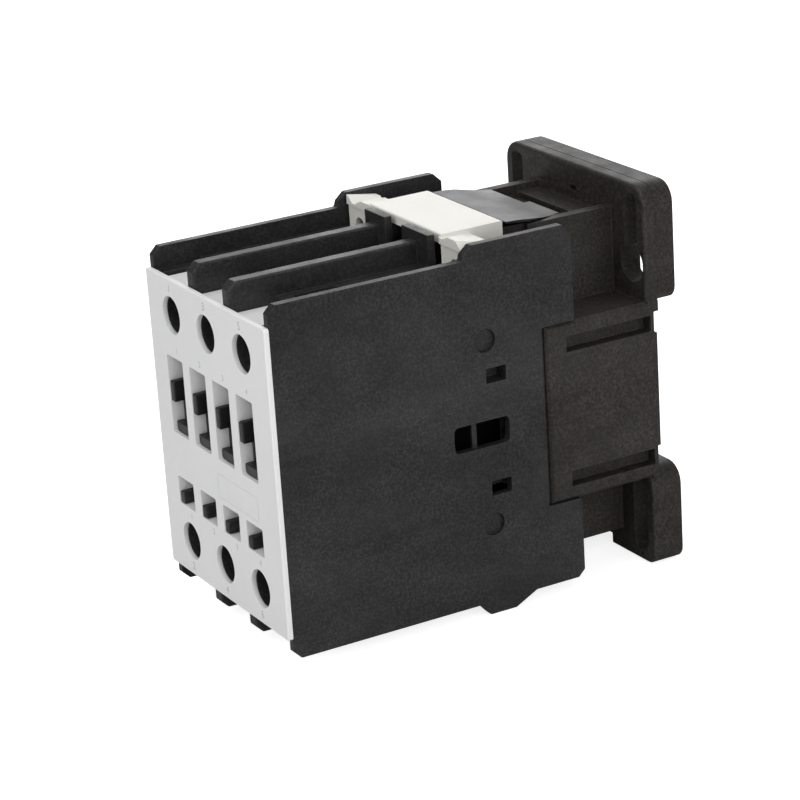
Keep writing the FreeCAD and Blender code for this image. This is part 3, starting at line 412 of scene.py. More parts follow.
def plastic(name, colour, rough=0.5, grain=(5200, 0.3, 0.00003), mottle=(55, 0.25), flow=0.0,
            speck=0.0, wear=(0.0, 0.0004), specular=0.5, cloud=0.0, dust=(0.0, 2600, (0.1, 0.1, 0.1))):
    """Moulded plastic: eroded grain, cloudy gloss, fine dust, bright specks and rubbed edges."""
    g = Graph(name)
    drift = g.noise(mottle[0], 5.0, 0.6)
    fine = g.noise(mottle[0] * 14, 3.0, 0.6)
    tone = g.maths("ADD", g.times(drift, 0.7), g.times(fine, 0.3))
    tone = g.curve(tone, 0.36, 0.64)
    base = g.mix(tone, shade(colour, 1 - mottle[1]), shade(colour, 1 + mottle[1]))
    if flow:
        streaks = g.curve(g.noise(26, 4.0, 0.55, g.stretched((1.0, 0.35, 1.6)), 1.6), 0.48, 0.72)
        base = g.mix(g.times(streaks, flow), base, shade(colour, 1.7))
    if dust[0]:
        film = g.curve(g.noise(dust[1], 3.0, 0.7), 0.42, 0.72)
        patchy = g.curve(g.noise(95, 3.0), 0.30, 0.62, 0.45, 1.0)
        base = g.mix(g.times(g.times(film, patchy), dust[0]), base, dust[2])
    if speck:
        dots = g.curve(g.cells(620), 0.16, 0.08)
        rare = g.curve(g.noise(240, 2.0), 0.60, 0.68)
        base = g.mix(g.times(g.times(dots, rare), speck), base, shade(colour, 4.0))
    if wear[0]:
        rub = g.times(g.edges(wear[1]), g.curve(g.noise(420, 4.0), 0.35, 0.62))
        base = g.mix(g.times(rub, wear[0]), base, shade(colour, 3.4))
    g.link(base, g.shader.inputs["Base Color"])
    patch = g.noise(mottle[0] * 3.1, 4.0)
    g.link(g.curve(patch, 0.3, 0.7, rough - 0.06, rough + 0.08), g.shader.inputs["Roughness"])
    gloss = g.noise(34, 5.0, 0.62, g.stretched((1.0, 0.6, 1.3)), 0.8)
    g.link(g.curve(gloss, 0.34, 0.66, specular * (1 - cloud), specular * (1 + cloud)),
           g.shader.inputs["Specular IOR Level"])
    pits = g.maths("ADD", g.noise(grain[0], 2.0, 0.6), g.times(g.cells(grain[0] * 0.45), 0.5))
    normal = g.bump(pits, grain[1], grain[2])
    waves = g.bump(g.noise(160, 2.0), 0.16, 0.0003, normal)
    g.link(waves, g.shader.inputs["Normal"])
    return g.material


def metal(name, colour, rough=0.32, streak=(1.0, 1.0, 1.0), tint=0.12, scale=900, specks=0.15,
          clear=0.0):
    """Worked metal: drawn or rolled streaks, tonal drift and small marks."""
    g = Graph(name)
    lines = g.noise(scale, 4.0, 0.65, g.stretched(streak))
    drift = g.noise(180, 4.0)
    tone = g.curve(g.maths("ADD", g.times(lines, 0.5), g.times(drift, 0.5)), 0.38, 0.62)
    base = g.mix(tone, shade(colour, 1 - tint), shade(colour, 1 + tint))
    spots = g.curve(g.noise(1500, 3.0), 0.60, 0.72)
    base = g.mix(g.times(spots, specks), base, shade(colour, 0.45))
    g.link(base, g.shader.inputs["Base Color"])
    g.shader.inputs["Metallic"].default_value = 1.0
    g.link(g.curve(lines, 0.3, 0.7, rough - 0.08, rough + 0.12), g.shader.inputs["Roughness"])
    g.shader.inputs["Coat Weight"].default_value = clear
    g.link(g.bump(lines, 0.25, 0.00002), g.shader.inputs["Normal"])
    return g.material


BLACK = (0.0105, 0.0108, 0.0118)
BROWN_BLACK = (0.0118, 0.0108, 0.0102)
MATERIALS = {
    "cover_plastic": plastic(
        "cover_grey", (0.74, 0.74, 0.745), rough=0.50, grain=(3600, 0.18, 0.00003), mottle=(30, 0.02),
        wear=(0.12, 0.0004), specular=0.3),
    "housing_plastic": plastic(
        "housing_black", BLACK, rough=0.50, grain=(4200, 0.35, 0.00004), mottle=(48, 0.16), flow=0.5,
        speck=0.8, wear=(0.8, 0.0005), specular=0.30, cloud=0.45, dust=(0.5, 1700, (0.072, 0.066, 0.062))),
    "base_plastic": plastic(
        "base_black", BROWN_BLACK, rough=0.56, grain=(3000, 0.5, 0.00005), mottle=(70, 0.26), flow=0.3,
        speck=0.6, wear=(1.0, 0.0006), specular=0.28, cloud=0.4, dust=(0.55, 1500, (0.078, 0.062, 0.052))),
    "slope_plastic": plastic(
        "slope_black", (0.012, 0.0125, 0.016), rough=0.40, grain=(5000, 0.05, 0.00002), mottle=(40, 0.06),
        specular=0.25),
    # Painted shade: a near-black, dull material for sheets set where the inside of the housing is only in
    # shadow.
    "painted_shade_plastic": plastic("painted_shade_black", (0.002, 0.002, 0.002), rough=0.9, specular=0.05),
    "carrier_plastic": plastic(
        "carrier_black", (0.010, 0.010, 0.0105), rough=0.38, specular=0.35, grain=(5200, 0.15, 0.00002),
        mottle=(90, 0.12), wear=(0.5, 0.0003)),
    "grey_print": plastic(
        "grey_print", (0.38, 0.39, 0.41), rough=0.55, grain=(3600, 0.1, 0.00002), mottle=(300, 0.08),
        specular=0.3),
    "bobbin_plastic": plastic(
        "bobbin_nylon", (0.60, 0.56, 0.42), rough=0.45, grain=(2400, 0.3, 0.00003), mottle=(90, 0.06),
        flow=0.25),
    "head_plastic": plastic(
        "head_ivory", (0.72, 0.71, 0.665), rough=0.50, grain=(4200, 0.15, 0.00003), mottle=(40, 0.03),
        wear=(0.1, 0.0004), specular=0.25),
    "clip_plastic": plastic(
        "clip_black", (0.014, 0.014, 0.0145), rough=0.42, specular=0.35, grain=(4200, 0.25, 0.00003),
        mottle=(80, 0.15), flow=0.2, wear=(0.6, 0.0004)),
    "coil_tape": plastic(
        "tape_cream", (0.10, 0.095, 0.078), rough=0.28, grain=(900, 0.3, 0.00004), mottle=(150, 0.1),
        specular=0.6),
    "cushion_rubber": plastic(
        "rubber_black", (0.028, 0.028, 0.028), rough=0.78, grain=(2200, 0.6, 0.00005), mottle=(120, 0.2)),
    "enamelled_copper": metal("enamelled_copper", (0.62, 0.22, 0.08), rough=0.22, scale=300, clear=0.6),
    "core_laminations": metal(
        "core_steel", (0.42, 0.43, 0.45), rough=0.40, streak=(1, 6, 1), scale=700, specks=0.35),
    "copper": metal("drawn_copper", (0.80, 0.42, 0.27), rough=0.30, streak=(1, 1, 8)),
    "contact_silver": metal("contact_silver", (0.82, 0.81, 0.78), rough=0.38, scale=1600, specks=0.3),
    "tinned_brass": metal("tinned_brass", (0.74, 0.71, 0.64), rough=0.30, streak=(8, 1, 1)),
    "zinc_steel": metal("zinc_plate", (0.66, 0.67, 0.66), rough=0.30, streak=(1, 5, 1), specks=0.2),
    "spring_steel": metal("spring_wire", (0.55, 0.55, 0.55), rough=0.24, streak=(1, 1, 1)),
}


# Front cover

SLOT_HALF = 3.7
SLOT_CENTRES = [(index - 1.5) * 10.8 - 0.45 for index in range(4)]
UPPER_SLOT = (-1.5, 16.1)
PLATE = 1.2
LOWER_SLOT = (-17.9, -11.6)
BAYS = [(-22.85, -9.75), (-6.55, 6.55), (9.75, 22.85)]


def digit(text, x, z, size, thick):
    """A digit as a thin solid, centred on the plane of the front face."""
    curve = bpy.data.curves.new("digit", "FONT")
    curve.body = text
    curve.size = size
    curve.align_x = "CENTER"
    curve.align_y = "CENTER"
    curve.resolution_u = 3
    curve.extrude = thick / 2
    item = bpy.data.objects.new("digit", curve)
    bpy.context.scene.collection.objects.link(item)
    bpy.context.view_layer.update()
    graph = bpy.context.evaluated_depsgraph_get()
    mesh = bmesh.new()
    mesh.from_mesh(item.evaluated_get(graph).to_mesh())
    bpy.data.objects.remove(item)
    bpy.data.curves.remove(curve)
    bmesh.ops.remove_doubles(mesh, verts=mesh.verts, dist=0.0005)
    mesh.transform(Matrix.Translation((x, 0.0, z)) @ Matrix.Rotation(math.pi / 2, 4, "X"))
    bmesh.ops.recalc_face_normals(mesh, faces=mesh.faces)
    return mesh


def digits(thick):
    """Terminal numbers beside the screw holes and the slots."""
    made = []
    numbers = [("1", "3", "5"), ("2", "4", "6")]
    for row, end in enumerate(UP_DOWN):
        for text, centre in zip(numbers[row], POLES.values()):
            made.append(digit(text, centre, end * 31.6, 2.5, thick))
    for index, centre in enumerate(SLOT_CENTRES):
        made.append(digit(str(index + 1), centre + 1.6, 17.9, 1.9, thick))
        made.append(digit(str(index + 1), centre + 1.6, -19.6, 1.9, thick))
    return made


def make_front_cover():
    plate = card((-HALF_WIDTH, HALF_WIDTH), (-33.7, 33.7), 0.6)
    added = [prism("y", plate, 0.0, PLATE, soft=(0.3, 0.1))]
    removed = []
    for low, high in (UPPER_SLOT, LOWER_SLOT):
        for centre in SLOT_CENTRES:
            hole = card(around(centre, SLOT_HALF), (low, high), 0.25, 2)
            added.append(block(around(centre, SLOT_HALF + 0.8), (0.9, 6.0), (low - 0.8, high + 0.8)))
            removed.append(prism("y", hole, -1.0, 7.0))
    for end in UP_DOWN:
        for centre in POLES.values():
            removed.append(rod("y", (centre, end * HOLE_HEIGHT), -1.0, 3.0, DRIVER_HOLE, 64))
        for left, right in BAYS:
            added.append(block((left + 0.15, right - 0.15), (0.9, 12.0), span(31.1, 32.3, end)))
    for side in LEFT_RIGHT:
        added.append(block(span(24.25, 25.35, side), (0.9, 11.0), (-4.0, 4.0)))
        added.append(prism("z", [(side * 24.25, 9.2), (side * 25.45, 9.2), (side * 25.95, 9.7),
                (side * 25.95, 10.1), (side * 25.3, 10.6), (side * 24.25, 10.6)], -4.0, 4.0))
    shell = soften(combine(added, removed), 0.12)
    label = card((0.0, 18.4), (-10.3, -4.8), 0.5, 3)
    ring = combine([prism("y", label, -0.5, 0.12)], [prism("y", inset(label, 0.16), -1.0, 0.5)])
    shell = combine([shell], [ring] + digits(0.3))
    piece("front_cover_shell", shell, "root", "cover_plastic", ["front_cover"])
    piece("front_cover_digits", merge(digits(0.14)), "root", "cover_plastic", [], "grey_print")


# Housing

def wall_outline():
    outline = [(PLATE, -36.5), (PLATE, 36.5), (2.9, 38.2), (46.0, 38.2), (46.4, 39.6), (48.4, 41.3),
               (70.4, 41.3), (72.5, 39.3), (72.5, 20.0), (64.2, 20.0), (64.2, -20.0), (72.5, -20.0),
               (72.5, -36.6), (70.9, -38.2), (60.2, -38.2), (54.8, -40.9), (48.4, -40.9),
               (46.0, -38.2), (2.9, -38.2)]
    return rounded(outline, [0.5, 0.5, 0.6, 0.6, 0.8, 0.8, 0.7, 0.7, 0.45, 0.45, 0.45, 0.45, 0.6, 0.6, 0.8,
            0.8, 0.8, 0.8, 0.6], 3)


def make_housing():
    walls = (-25.9, 25.9)
    added = []
    for side in LEFT_RIGHT:
        added.append(prism("x", wall_outline(), *span(25.5, HALF_WIDTH, side),
                soft=(0.3, 0) if side < 0 else (0, 0.3), steps=4))
        barrier = rounded([(1.4, -37.1), (1.4, 37.1), (3.1, 38.8), (46.6, 38.8), (46.6, -38.8), (3.1, -38.8)],
                [0.5, 0.5, 0.5, 0, 0, 0.5], 3)
        added.append(prism("x", barrier, side * 8.15 - 1.6, side * 8.15 + 1.6, soft=(0.5, 0.5), steps=4))
    added += [
        block(walls, (26.6, 33.0), (-32.0, 32.0)),
        block(walls, (7.2, 9.2), (-18.6, -10.9)),
        block(walls, (7.2, 9.2), (10.9, 18.6)),
        block(walls, (12.0, 64.0), (-33.8, -31.8)),
        block(walls, (12.0, 48.2), (31.8, 33.8)),
        block((-14.7, 14.7), (48.0, 52.7), (31.8, 32.9)),
        block((-14.7, 14.7), (52.2, 52.7), (31.8, 38.6)),
    ]
    for side in LEFT_RIGHT:
        for end in UP_DOWN:
            reach = 41.0 if end > 0 else 38.2
            arm = (3.5, 14.5) if side > 0 else (-12.4, -3.5)
            added.append(block(arm, (45.6, 47.3), span(33.0, reach, end)))
            added.append(block(span(3.0, 14.8, side), (46.6, 48.2), span(31.8, 33.8, end)))
            added.append(block(span(18.9, 25.9, side), (46.0, 64.2), around(end * CASE_SCREW_HEIGHT, 3.4)))
            added.append(block(span(22.95, 25.9, side), (1.8, 12.2), span(31.1, 33.2, end)))
    for end in UP_DOWN:
        added.append(block(walls, (1.9, 14.0), around(end * HOLE_HEIGHT, 0.6)))
        for centre in POLES.values():
            added.append(rod("y", (centre, end * HOLE_HEIGHT), 1.3, 14.0, 5.2, 56))
    removed = [
        block((-11.35, 11.35), (-1.0, 7.2), (-19.2, 19.2)),
        block((-22.4, 22.4), (7.2, 35.0), (-8.2, 10.4)),
        block((-11.35, 11.35), (33.0, 52.0), (-31.8, 31.8)),
    ]
    kept = []
    for centre in SLOT_CENTRES:
        left = centre - SLOT_HALF
        post = card((left + 0.08, left + 2.1), (-17.8, -15.1), 0.3, 2)
        kept.append(prism("y", post, 0.1, 8.0, soft=(0.3, 0), steps=2))
    for end in UP_DOWN:
        for centre in POLES.values():
            removed.append(block(around(centre, 5.0), (15.0, 24.9), span(29.8, 35.8, end)))
            removed.append(rod("y", (centre, end * HOLE_HEIGHT), 24.6, 35.0, 2.8, 32))
            removed.append(rod("y", (centre, end * HOLE_HEIGHT), 0.0, 14.5, DRIVER_HOLE, 56))
    for side in LEFT_RIGHT:
        removed.append(block(span(23.5, 26.25, side), (8.9, 10.9), (-4.3, 4.3)))
        for end in UP_DOWN:
            removed.append(rod("x", (50.3, end * 20.4), *span(26.5, 29.5, side), 2.6, 48))
            removed.append(block(span(23.5, 29.5, side), (50.3, 55.1), span(10.9, 14.1, end)))
            removed.append(case_bore(side, end, 48.0, 66.2, 1.53))
        window = card((41.9, 55.3), (-2.9, 2.9), 1.0, 4)
        removed.append(prism("x", window, *span(23.5, 29.5, side)))
        kept.append(block(span(25.5, 26.4, side), (46.7, 47.9), (-3.2, 3.2)))
    shell = combine([combine(added, removed)] + kept)
    soften(shell, 0.16, cuts=[("z", level) for level in (-25.7, -20.4, -12.5, 0.0, 12.5, 20.4, 25.7)])
    # Painted shade: two thin near-black plates behind the side windows, set where the inside would only be in
    # shadow; no CAD part matches them.
    painted_shade_plates = [block(span(19.1, 19.5, side), (41.0, 57.6), (-6.3, 6.3)) for side in LEFT_RIGHT]
    piece("housing_painted_shade", merge(painted_shade_plates), "root", "housing_plastic", [], "painted_shade_plastic")
    piece("housing_shell", shell, "root", "housing_plastic", ["housing"])


# Base

def case_bore(side, end, low, high, radius, count=24):
    """A rod on the line of one of the four housing screws."""
    return rod("y", (side * CASE_SCREW_ACROSS, end * CASE_SCREW_HEIGHT), low, high, radius, count)


def make_base():
    added = [
        prism("x", [(64.2, -20.0), (64.2, 20.0), (93.6, 20.0), (93.6, 17.6), (92.5, 17.6), (92.5, 12.9),
                    (93.2, 12.9), (93.2, -12.9), (92.5, -12.9), (92.5, -20.0)], -HALF_WIDTH, HALF_WIDTH),
        block((-15.3, 15.3), (64.4, 91.0), (-35.6, 38.9)),
        block((-10.6, 10.6), (FLANGE_FRONT, 93.2), (-38.3, -19.5)),
        block((-2.3, 2.3), (93.0, 96.6), (-36.0, -34.0)),
        block((-8.0, 8.0), (FLANGE_FRONT, 96.8), (19.7, 21.8)),
        block((-8.0, 8.0), (93.45, 96.8), (15.2, 20.0)),
    ]
    removed = [
        block((-24.0, 24.0), (62.2, 77.0), (-18.0, 18.0)),
        block((-12.5, 12.5), (62.2, 87.5), (-33.6, 33.8)),
        block((-12.5, 12.5), (62.2, 76.5), (31.8, 36.4)),
        block((-12.8, 12.8), (78.5, FLANGE_FRONT), (35.8, 42.0)),
        block((-12.8, 12.8), (62.2, 80.5), (38.4, 42.0)),
    ]
    flange = card((-HALF_WIDTH, HALF_WIDTH), (17.8, 45.3), [0.3, 0.3, 4.4, 4.4], 6)
    rear = card((-HALF_WIDTH, HALF_WIDTH), (19.4, 45.3), [3.0, 3.0, 4.4, 4.4], 6)
    plate = combine(
        [prism("y", flange, FLANGE_FRONT, 93.5, soft=(0.9, 0), steps=4),
         prism("y", inset(rear, 0.08), 93.0, 94.0),
         prism("y", rear, 93.7, TOTAL_DEPTH, soft=(0, 0.25), steps=4)],
        [prism("y", card((-25.5, 25.5), (21.8, 43.7), [0.8, 0.8, 2.8, 2.8], 4), WEB_REAR, 100.0),
         block((-1.0, 1.4), (88.6, 95.6), (39.1, 40.2))]
        + [tool for side in LEFT_RIGHT for tool in keyhole(side)])
    ribs = [combine([block(span(14.3, 15.3, side), (94.4, 97.6), (20.8, 44.3))],
            [rod("x", (96.0, 24.6), *span(13.0, 17.0, side), 0.6, 20)]) for side in LEFT_RIGHT]
    added += [plate] + ribs
    for side in LEFT_RIGHT:
        added.append(make_foot(side))
        removed.append(block(span(HALF_WIDTH - 1.2, HALF_WIDTH + 2.0, side), (62.2, 65.1), (-22.0, 22.0)))
        removed.append(prism("z", [(side * 27.6, 65.0), (side * 27.6, 66.0), (side * 26.6, 65.0)], -20.5,
                20.5))
        for end in UP_DOWN:
            removed.append(prism("y", [(side * 27.6, end * 19.1), (side * 27.6, end * 20.1),
                    (side * 26.6, end * 20.1)], 62.0, 91.0))
            removed.append(block(span(HALF_WIDTH - 2.9, HALF_WIDTH + 2.0, side), (70.2, 91.6),
                    span(13.4, 16.9, end)))
            removed.append(case_bore(side, end, 60.0, 95.2, 1.7))
            removed.append(case_bore(side, end, 78.0, 95.2, 3.2, 32))
        removed.append(block(span(16.5, 25.5, side), (80.0, 95.2), (-5.4, 5.4)))
        removed.append(block(span(13.9, 16.0, side), (62.2, 69.5), (20.4, 42.0)))
    shell = combine(added, removed)
    extra = [
        prism("x", [(84.6, 35.3), (84.6, 37.25), (91.0, 37.05), (91.0, 35.3)], -13.0, 13.0),
    ]
    for side in LEFT_RIGHT:
        for end in UP_DOWN:
            extra.append(block(span(8.2, 13.5, side), (78.0, 86.0), span(17.5, 22.5, end)))
            column = block(span(18.9, 25.0, side), (64.2, 77.5), around(end * CASE_SCREW_HEIGHT, 3.4))
            column = combine([column], [case_bore(side, end, 60.0, 80.0, 1.7)])
            extra.append(column)
    shell = combine([shell] + extra)
    soften(shell, 0.16, cuts=[("x", -22.0), ("x", 0.2), ("x", 22.0)])
    piece("base_shell", shell, "root", "base_plastic", ["base"])


def keyhole(side):
    """The tools that cut one keyhole and the relief for a screw head behind it."""
    centre = side * MOUNT_SLOT_ACROSS
    return [
        rod("y", (centre, 27.7), 88.6, WEB_REAR, 4.05, 48),
        prism("y", card(around(centre, 2.3), (27.7, 43.2), [0, 0, 1.5, 1.5], 4), 88.6, WEB_REAR),
        block(span(18.0, 26.9, side), (WEB_REAR, 100.0), around(27.7, 4.5)),
    ]


def make_foot(side):
    across = span(10.3, HALF_WIDTH, side)
    corners = [2.8, 0.4, 0.4, 4.3] if side < 0 else [0.4, 2.8, 4.3, 0.4]
    outline = card(across, (-40.8, -18.6), corners, 5)
    centre = side * MOUNT_SLOT_ACROSS
    slot = card(around(centre, 2.6), (-38.2, -21.9), 1.3, 4)
    tools = [
        block(span(12.3, 25.5, side), (WEB_REAR, 100.0), (-38.8, -22.0)),
        prism("y", slot, 88.6, 95.6),
        rod("y", (centre, -39.2), 88.6, 95.0, 0.5, 16),
        block(span(8.3, 11.5, side), (94.1, 96.3), (-43.0, -20.6)),
    ]
    return combine([prism("y", outline, FLANGE_FRONT, TOTAL_DEPTH, soft=(0.5, 0.4), steps=4)], tools)


def roof_strip(reach):
    """The roof's section: it falls gently from the head and flattens out towards the flange."""
    top = [(64.25, 40.45), (66.0, 40.4), (68.0, 40.25), (70.0, 40.0), (72.0, 39.65), (74.0, 39.3),
           (76.0, 39.05), (77.8, 38.9)]
    kept = [point for point in top if point[0] <= reach]
    return kept + [(kept[-1][0], kept[-1][1] - 0.4), (72.0, 39.25), (64.25, 40.0)]


def make_slope():
    """The smooth roof over the tub walls, behind the coil head."""
    roof = combine([prism("x", roof_strip(78.0), -15.3, 15.3)], [prism("z",
            [(side * 15.35, 69.6), (side * 16.5, 69.6), (side * 16.5, 79.0),
            (side * 12.7, 79.0)][::int(side)], 37.0, 42.0) for side in LEFT_RIGHT])
    roof = combine([roof, block((0.8, 12.6), (76.8, 79.2), (38.3, 38.95))])
    piece("base_slope", soften(roof, 0.08), "root", "base_plastic", [], "slope_plastic")


# Coil terminal head

WING_CAPS = {
    "left": [(-24.9, 38.9), (-24.9, 41.0), (-24.4, 41.0), (-22.4, 39.5), (-21.3, 39.55), (-18.7, 40.8),
             (-14.8, 40.8), (-14.8, 38.9)],
    "right": [(14.8, 38.9), (14.8, 40.4), (16.0, 40.1), (18.5, 41.0), (21.6, 41.0), (23.5, 39.4),
              (24.9, 39.4), (24.9, 38.9)],
}


def make_terminal_head():
    """A raised block between two wings; each wing has a sloped cap over the face with the screw hole."""
    roof = rounded([(48.4, 33.0), (48.4, 41.0), (63.3, 41.0), (63.3, 33.0)], [0, 0.4, 0.3, 0], 3)
    added = [prism("x", roof, -15.4, 15.4)]
    removed = [block((-15.0, 15.0), (47.5, 53.0), (30.0, 38.85))]
    for name, side in SIDES.items():
        added.append(block(span(15.0, 24.9, side), (48.5, 55.4), (31.0, 39.1)))
        cap = combine([prism("y", WING_CAPS[name], 48.05, 55.4)], [prism("x",
                [(47.0, 41.2), (56.0, 39.7), (56.0, 43.0), (47.0, 43.0)], *span(14.0, 26.0, side))])
        added.append(cap)
        removed.append(block(around(side * COIL_SCREW_ACROSS, 3.5), (50.0, 54.9), (29.0, 38.4)))
        removed.append(rod("y", (side * COIL_SCREW_ACROSS, COIL_SCREW_HEIGHT - 0.3), 46.5, 52.0, 2.0, 40))
        removed.append(rod("y", (side * COIL_SCREW_ACROSS, COIL_SCREW_HEIGHT), 54.5, 60.0, 1.85, 24))
        removed.append(block(span(15.2, 26.0, side), (47.5, 48.75), (38.75, 38.92)))
    shell = soften(combine(added, removed), 0.12)
    piece("coil_head_shell", shell, "root", "head_plastic", ["coil_terminal_head"])


# Contact carrier

def make_carrier():
    added = [block((-21.8, 21.8), (8.0, 21.0), (-7.5, 7.5))]
    for side in LEFT_RIGHT:
        added.append(block(span(8.3, 18.0, side), (20.5, 31.0), (-6.4, 6.4)))
        ear = rounded([(20.5, -5.0), (20.5, 5.0), (43.0, 5.0), (43.0, -5.0)], [0, 0, 1.5, 1.5], 4)
        added.append(prism("x", ear, *span(8.3, 10.8, side)))
    for centre in SLOT_CENTRES:
        left = centre - SLOT_HALF
        added.append(block((left + 0.55, left + 1.4), (2.6, 8.5), (-0.9, 9.7)))
        head = card((left + 0.08, left + 1.85), (5.5, 10.2), 0.35, 3)
        added.append(prism("y", head, 0.08, 3.4, soft=(0.35, 0), steps=3))
        foot = card((left + 0.3, centre + SLOT_HALF - 0.2), (-1.42, 0.95), [0.9, 0.2, 0.3, 0.3], 4)
        added.append(prism("y", foot, 0.72, 8.5, soft=(0.25, 0), steps=3))
        added.append(block((left + 5.4, left + 6.9), (3.4, 8.5), (-1.0, 7.0)))
    removed = [rod("x", (38.5, 0.0), -30.0, 30.0, 1.515, 32)]
    for centre in POLES.values():
        removed.append(block(around(centre, 4.6), (11.0, 19.0), (-9.5, 9.5)))
        removed.append(block(around(centre, 2.2), (7.0, 9.4), (-4.0, 4.0)))
    piece("carrier_shell", soften(combine(added, removed), 0.14), "carrier", "carrier_plastic",
          ["contact_carrier"])


# Straps, clamps, bridges and tips

def make_terminals():
    for end_name, end in ENDS.items():
        for number, centre in POLES.items():
            low, high = span(11.6, 31.0, end)
            strap = card(around(centre, 5.0), (low, high), 0.8, 3)
            ridges = [block(around(centre, 4.4), (24.8, 25.08), around(end * (20.0 + 1.1 * k),
                    0.18)) for k in range(11) if abs(20.0 + 1.1 * k - HOLE_HEIGHT) > 3.0]
            mesh = combine([prism("y", strap, 25.0, 26.6, soft=(0.15, 0.15), steps=2)],
                    ridges + [rod("y", (centre, end * HOLE_HEIGHT), 23.0, 28.0, 2.52, 32)])
            piece(f"{end_name}_strap_{number}", soften(mesh, 0.0), "root", "tinned_brass",
                  [f"{end_name}_terminal_{number}"])
            height = end * HOLE_HEIGHT
            plate = card(around(centre, 5.2), around(height, 5.2), 0.6, 3)
            washer = combine(
                [prism("y", plate, 22.6, 25.0, soft=(0.2, 0.1), steps=2)],
                [block(around(centre, 4.4), (21.0, 23.4), around(height, 7.0)),
                 rod("y", (centre, height), 20.0, 28.0, 2.6, 32)])
            piece(f"{end_name}_washer_{number}", soften(washer, 0.1), f"{end_name}_clamp_{number}",
                  "zinc_steel", [f"{end_name}_clamp_{number}"])


def tip(centre, end, low, high, front_soft):
    outline = card(around(centre, 3.5), span(12.5, 15.5, end), 0.4, 3)
    return prism("y", outline, low, high, soft=(0.25, 0) if front_soft else (0, 0.25))


def make_contacts():
    fixed = [tip(centre, end, 24.0, 25.0, True) for end in UP_DOWN for centre in POLES.values()]
    piece("fixed_tip_set", merge(fixed), "root", "contact_silver", ["fixed_contact_tips"])
    for number, centre in POLES.items():
        outline = rounded([(centre - 4.2, -13.2), (centre - 3.4, -16.2), (centre + 3.4, -16.2),
                (centre + 4.2, -13.2), (centre + 4.2, 13.2), (centre + 3.4, 16.2), (centre - 3.4, 16.2),
                (centre - 4.2, 13.2)], 0.8, 3)
        bridge = combine([prism("y", outline, 17.15, 18.95, soft=(0.2, 0.2), steps=2)],
                [rod("y", (centre, 0.0), 16.0, 17.45, 3.1, 40)])
        piece(f"bridge_bar_{number}", soften(bridge, 0.0), f"bridge_{number}", "tinned_brass",
              [f"contact_bridge_{number}"])
        tips = [tip(centre, end, 18.95, 19.95, False) for end in UP_DOWN]
        piece(f"bridge_tips_{number}", merge(tips), f"bridge_{number}", "contact_silver",
              [f"moving_contact_tips_{number}"])


# Screws

def thread(centre, low, high, radius, pitch, depth, count=32):
    """A rod along Y with a real helical thread between two depths."""
    steps = max(8, round((high - low) / pitch * 8))
    rings = []
    for row in range(steps + 1):
        level = low + (high - low) * row / steps
        fade = min(1.0, (high - level) / pitch, (level - low) / pitch + 0.2)
        ring = []
        for k in range(count):
            phase = ((level - low) / pitch - k / count) % 1.0
            height = 1 - abs(2 * phase - 1)
            reach = radius - depth * (1 - height * fade)
            angle = 2 * math.pi * k / count
            ring.append(Vector((centre[0] + reach * math.cos(angle), level,
                    centre[1] + reach * math.sin(angle))))
        rings.append(ring)
    return skin(rings)


def cross_tools(centre, front, long, wide, deep):
    x, z = centre
    return [block(around(x, long), (front - 1.0, front + deep), around(z, wide)),
            block(around(x, wide), (front - 1.0, front + deep), around(z, long)),
            lathe(centre, [(0, front - 1.0), (wide * 2.3, front - 1.0), (wide * 2.0, front + 0.2),
            (wide * 0.6, front + deep + 0.3), (0, front + deep + 0.3)], 16)]


def pan_screw(centre, front, head, head_high, shank, end, pitch, recess, plain=0.6):
    """A pan head with a cross recess, on a threaded shank."""
    rise = head * 0.16
    profile = [(0, front), (head * 0.55, front), (head * 0.85, front + rise * 0.45),
               (head, front + rise * 1.6), (head, front + head_high - 0.12),
               (head - 0.12, front + head_high), (0, front + head_high)]
    cap = combine([lathe(centre, profile)], cross_tools(centre, front, *recess))
    soften(cap, 0.0)
    neck = rod("y", centre, front + head_high - 0.1, front + head_high + plain, shank * 0.96, 32)
    body = thread(centre, front + head_high + plain - 0.05, end, shank, pitch, pitch * 0.42)
    return [cap, neck, body]


def make_screws():
    for end_name, end in ENDS.items():
        for number, centre in POLES.items():
            mesh = merge(pan_screw((centre, end * HOLE_HEIGHT), 20.0, 4.0, 3.4, 2.45, 32.0, 0.8,
                    (2.5, 0.55, 1.8)))
            piece(f"{end_name}_bolt_{number}", mesh, f"{end_name}_screw_{number}", "zinc_steel",
                  [f"{end_name}_screw_{number}"])
    for side_name, side in SIDES.items():
        mesh = merge(pan_screw((side * COIL_SCREW_ACROSS, COIL_SCREW_HEIGHT), 52.2, 2.75, 2.2, 1.7, 59.0, 0.6,
                (1.7, 0.4, 1.1), plain=0.3))
        piece(f"coil_bolt_{side_name}", mesh, f"coil_screw_{side_name}", "zinc_steel",
              [f"coil_screw_{side_name}"])
    long_screws = []
    for side in LEFT_RIGHT:
        for end in UP_DOWN:
            parts = pan_screw((side * CASE_SCREW_ACROSS, end * CASE_SCREW_HEIGHT), 0.0, 2.9, 2.4, 1.5, 28.4,
                    0.7, (1.7, 0.4, 1.2), plain=14.0)
            mesh = merge(parts)
            mesh.transform(Matrix.Translation((0, 80.4, 0)) @ Matrix.Diagonal((1, -1, 1, 1)))
            bmesh.ops.reverse_faces(mesh, faces=mesh.faces)
            long_screws.append(mesh)
    piece("case_screw_set", merge(long_screws), "root", "zinc_steel", ["housing_screws"])


# Coil terminals

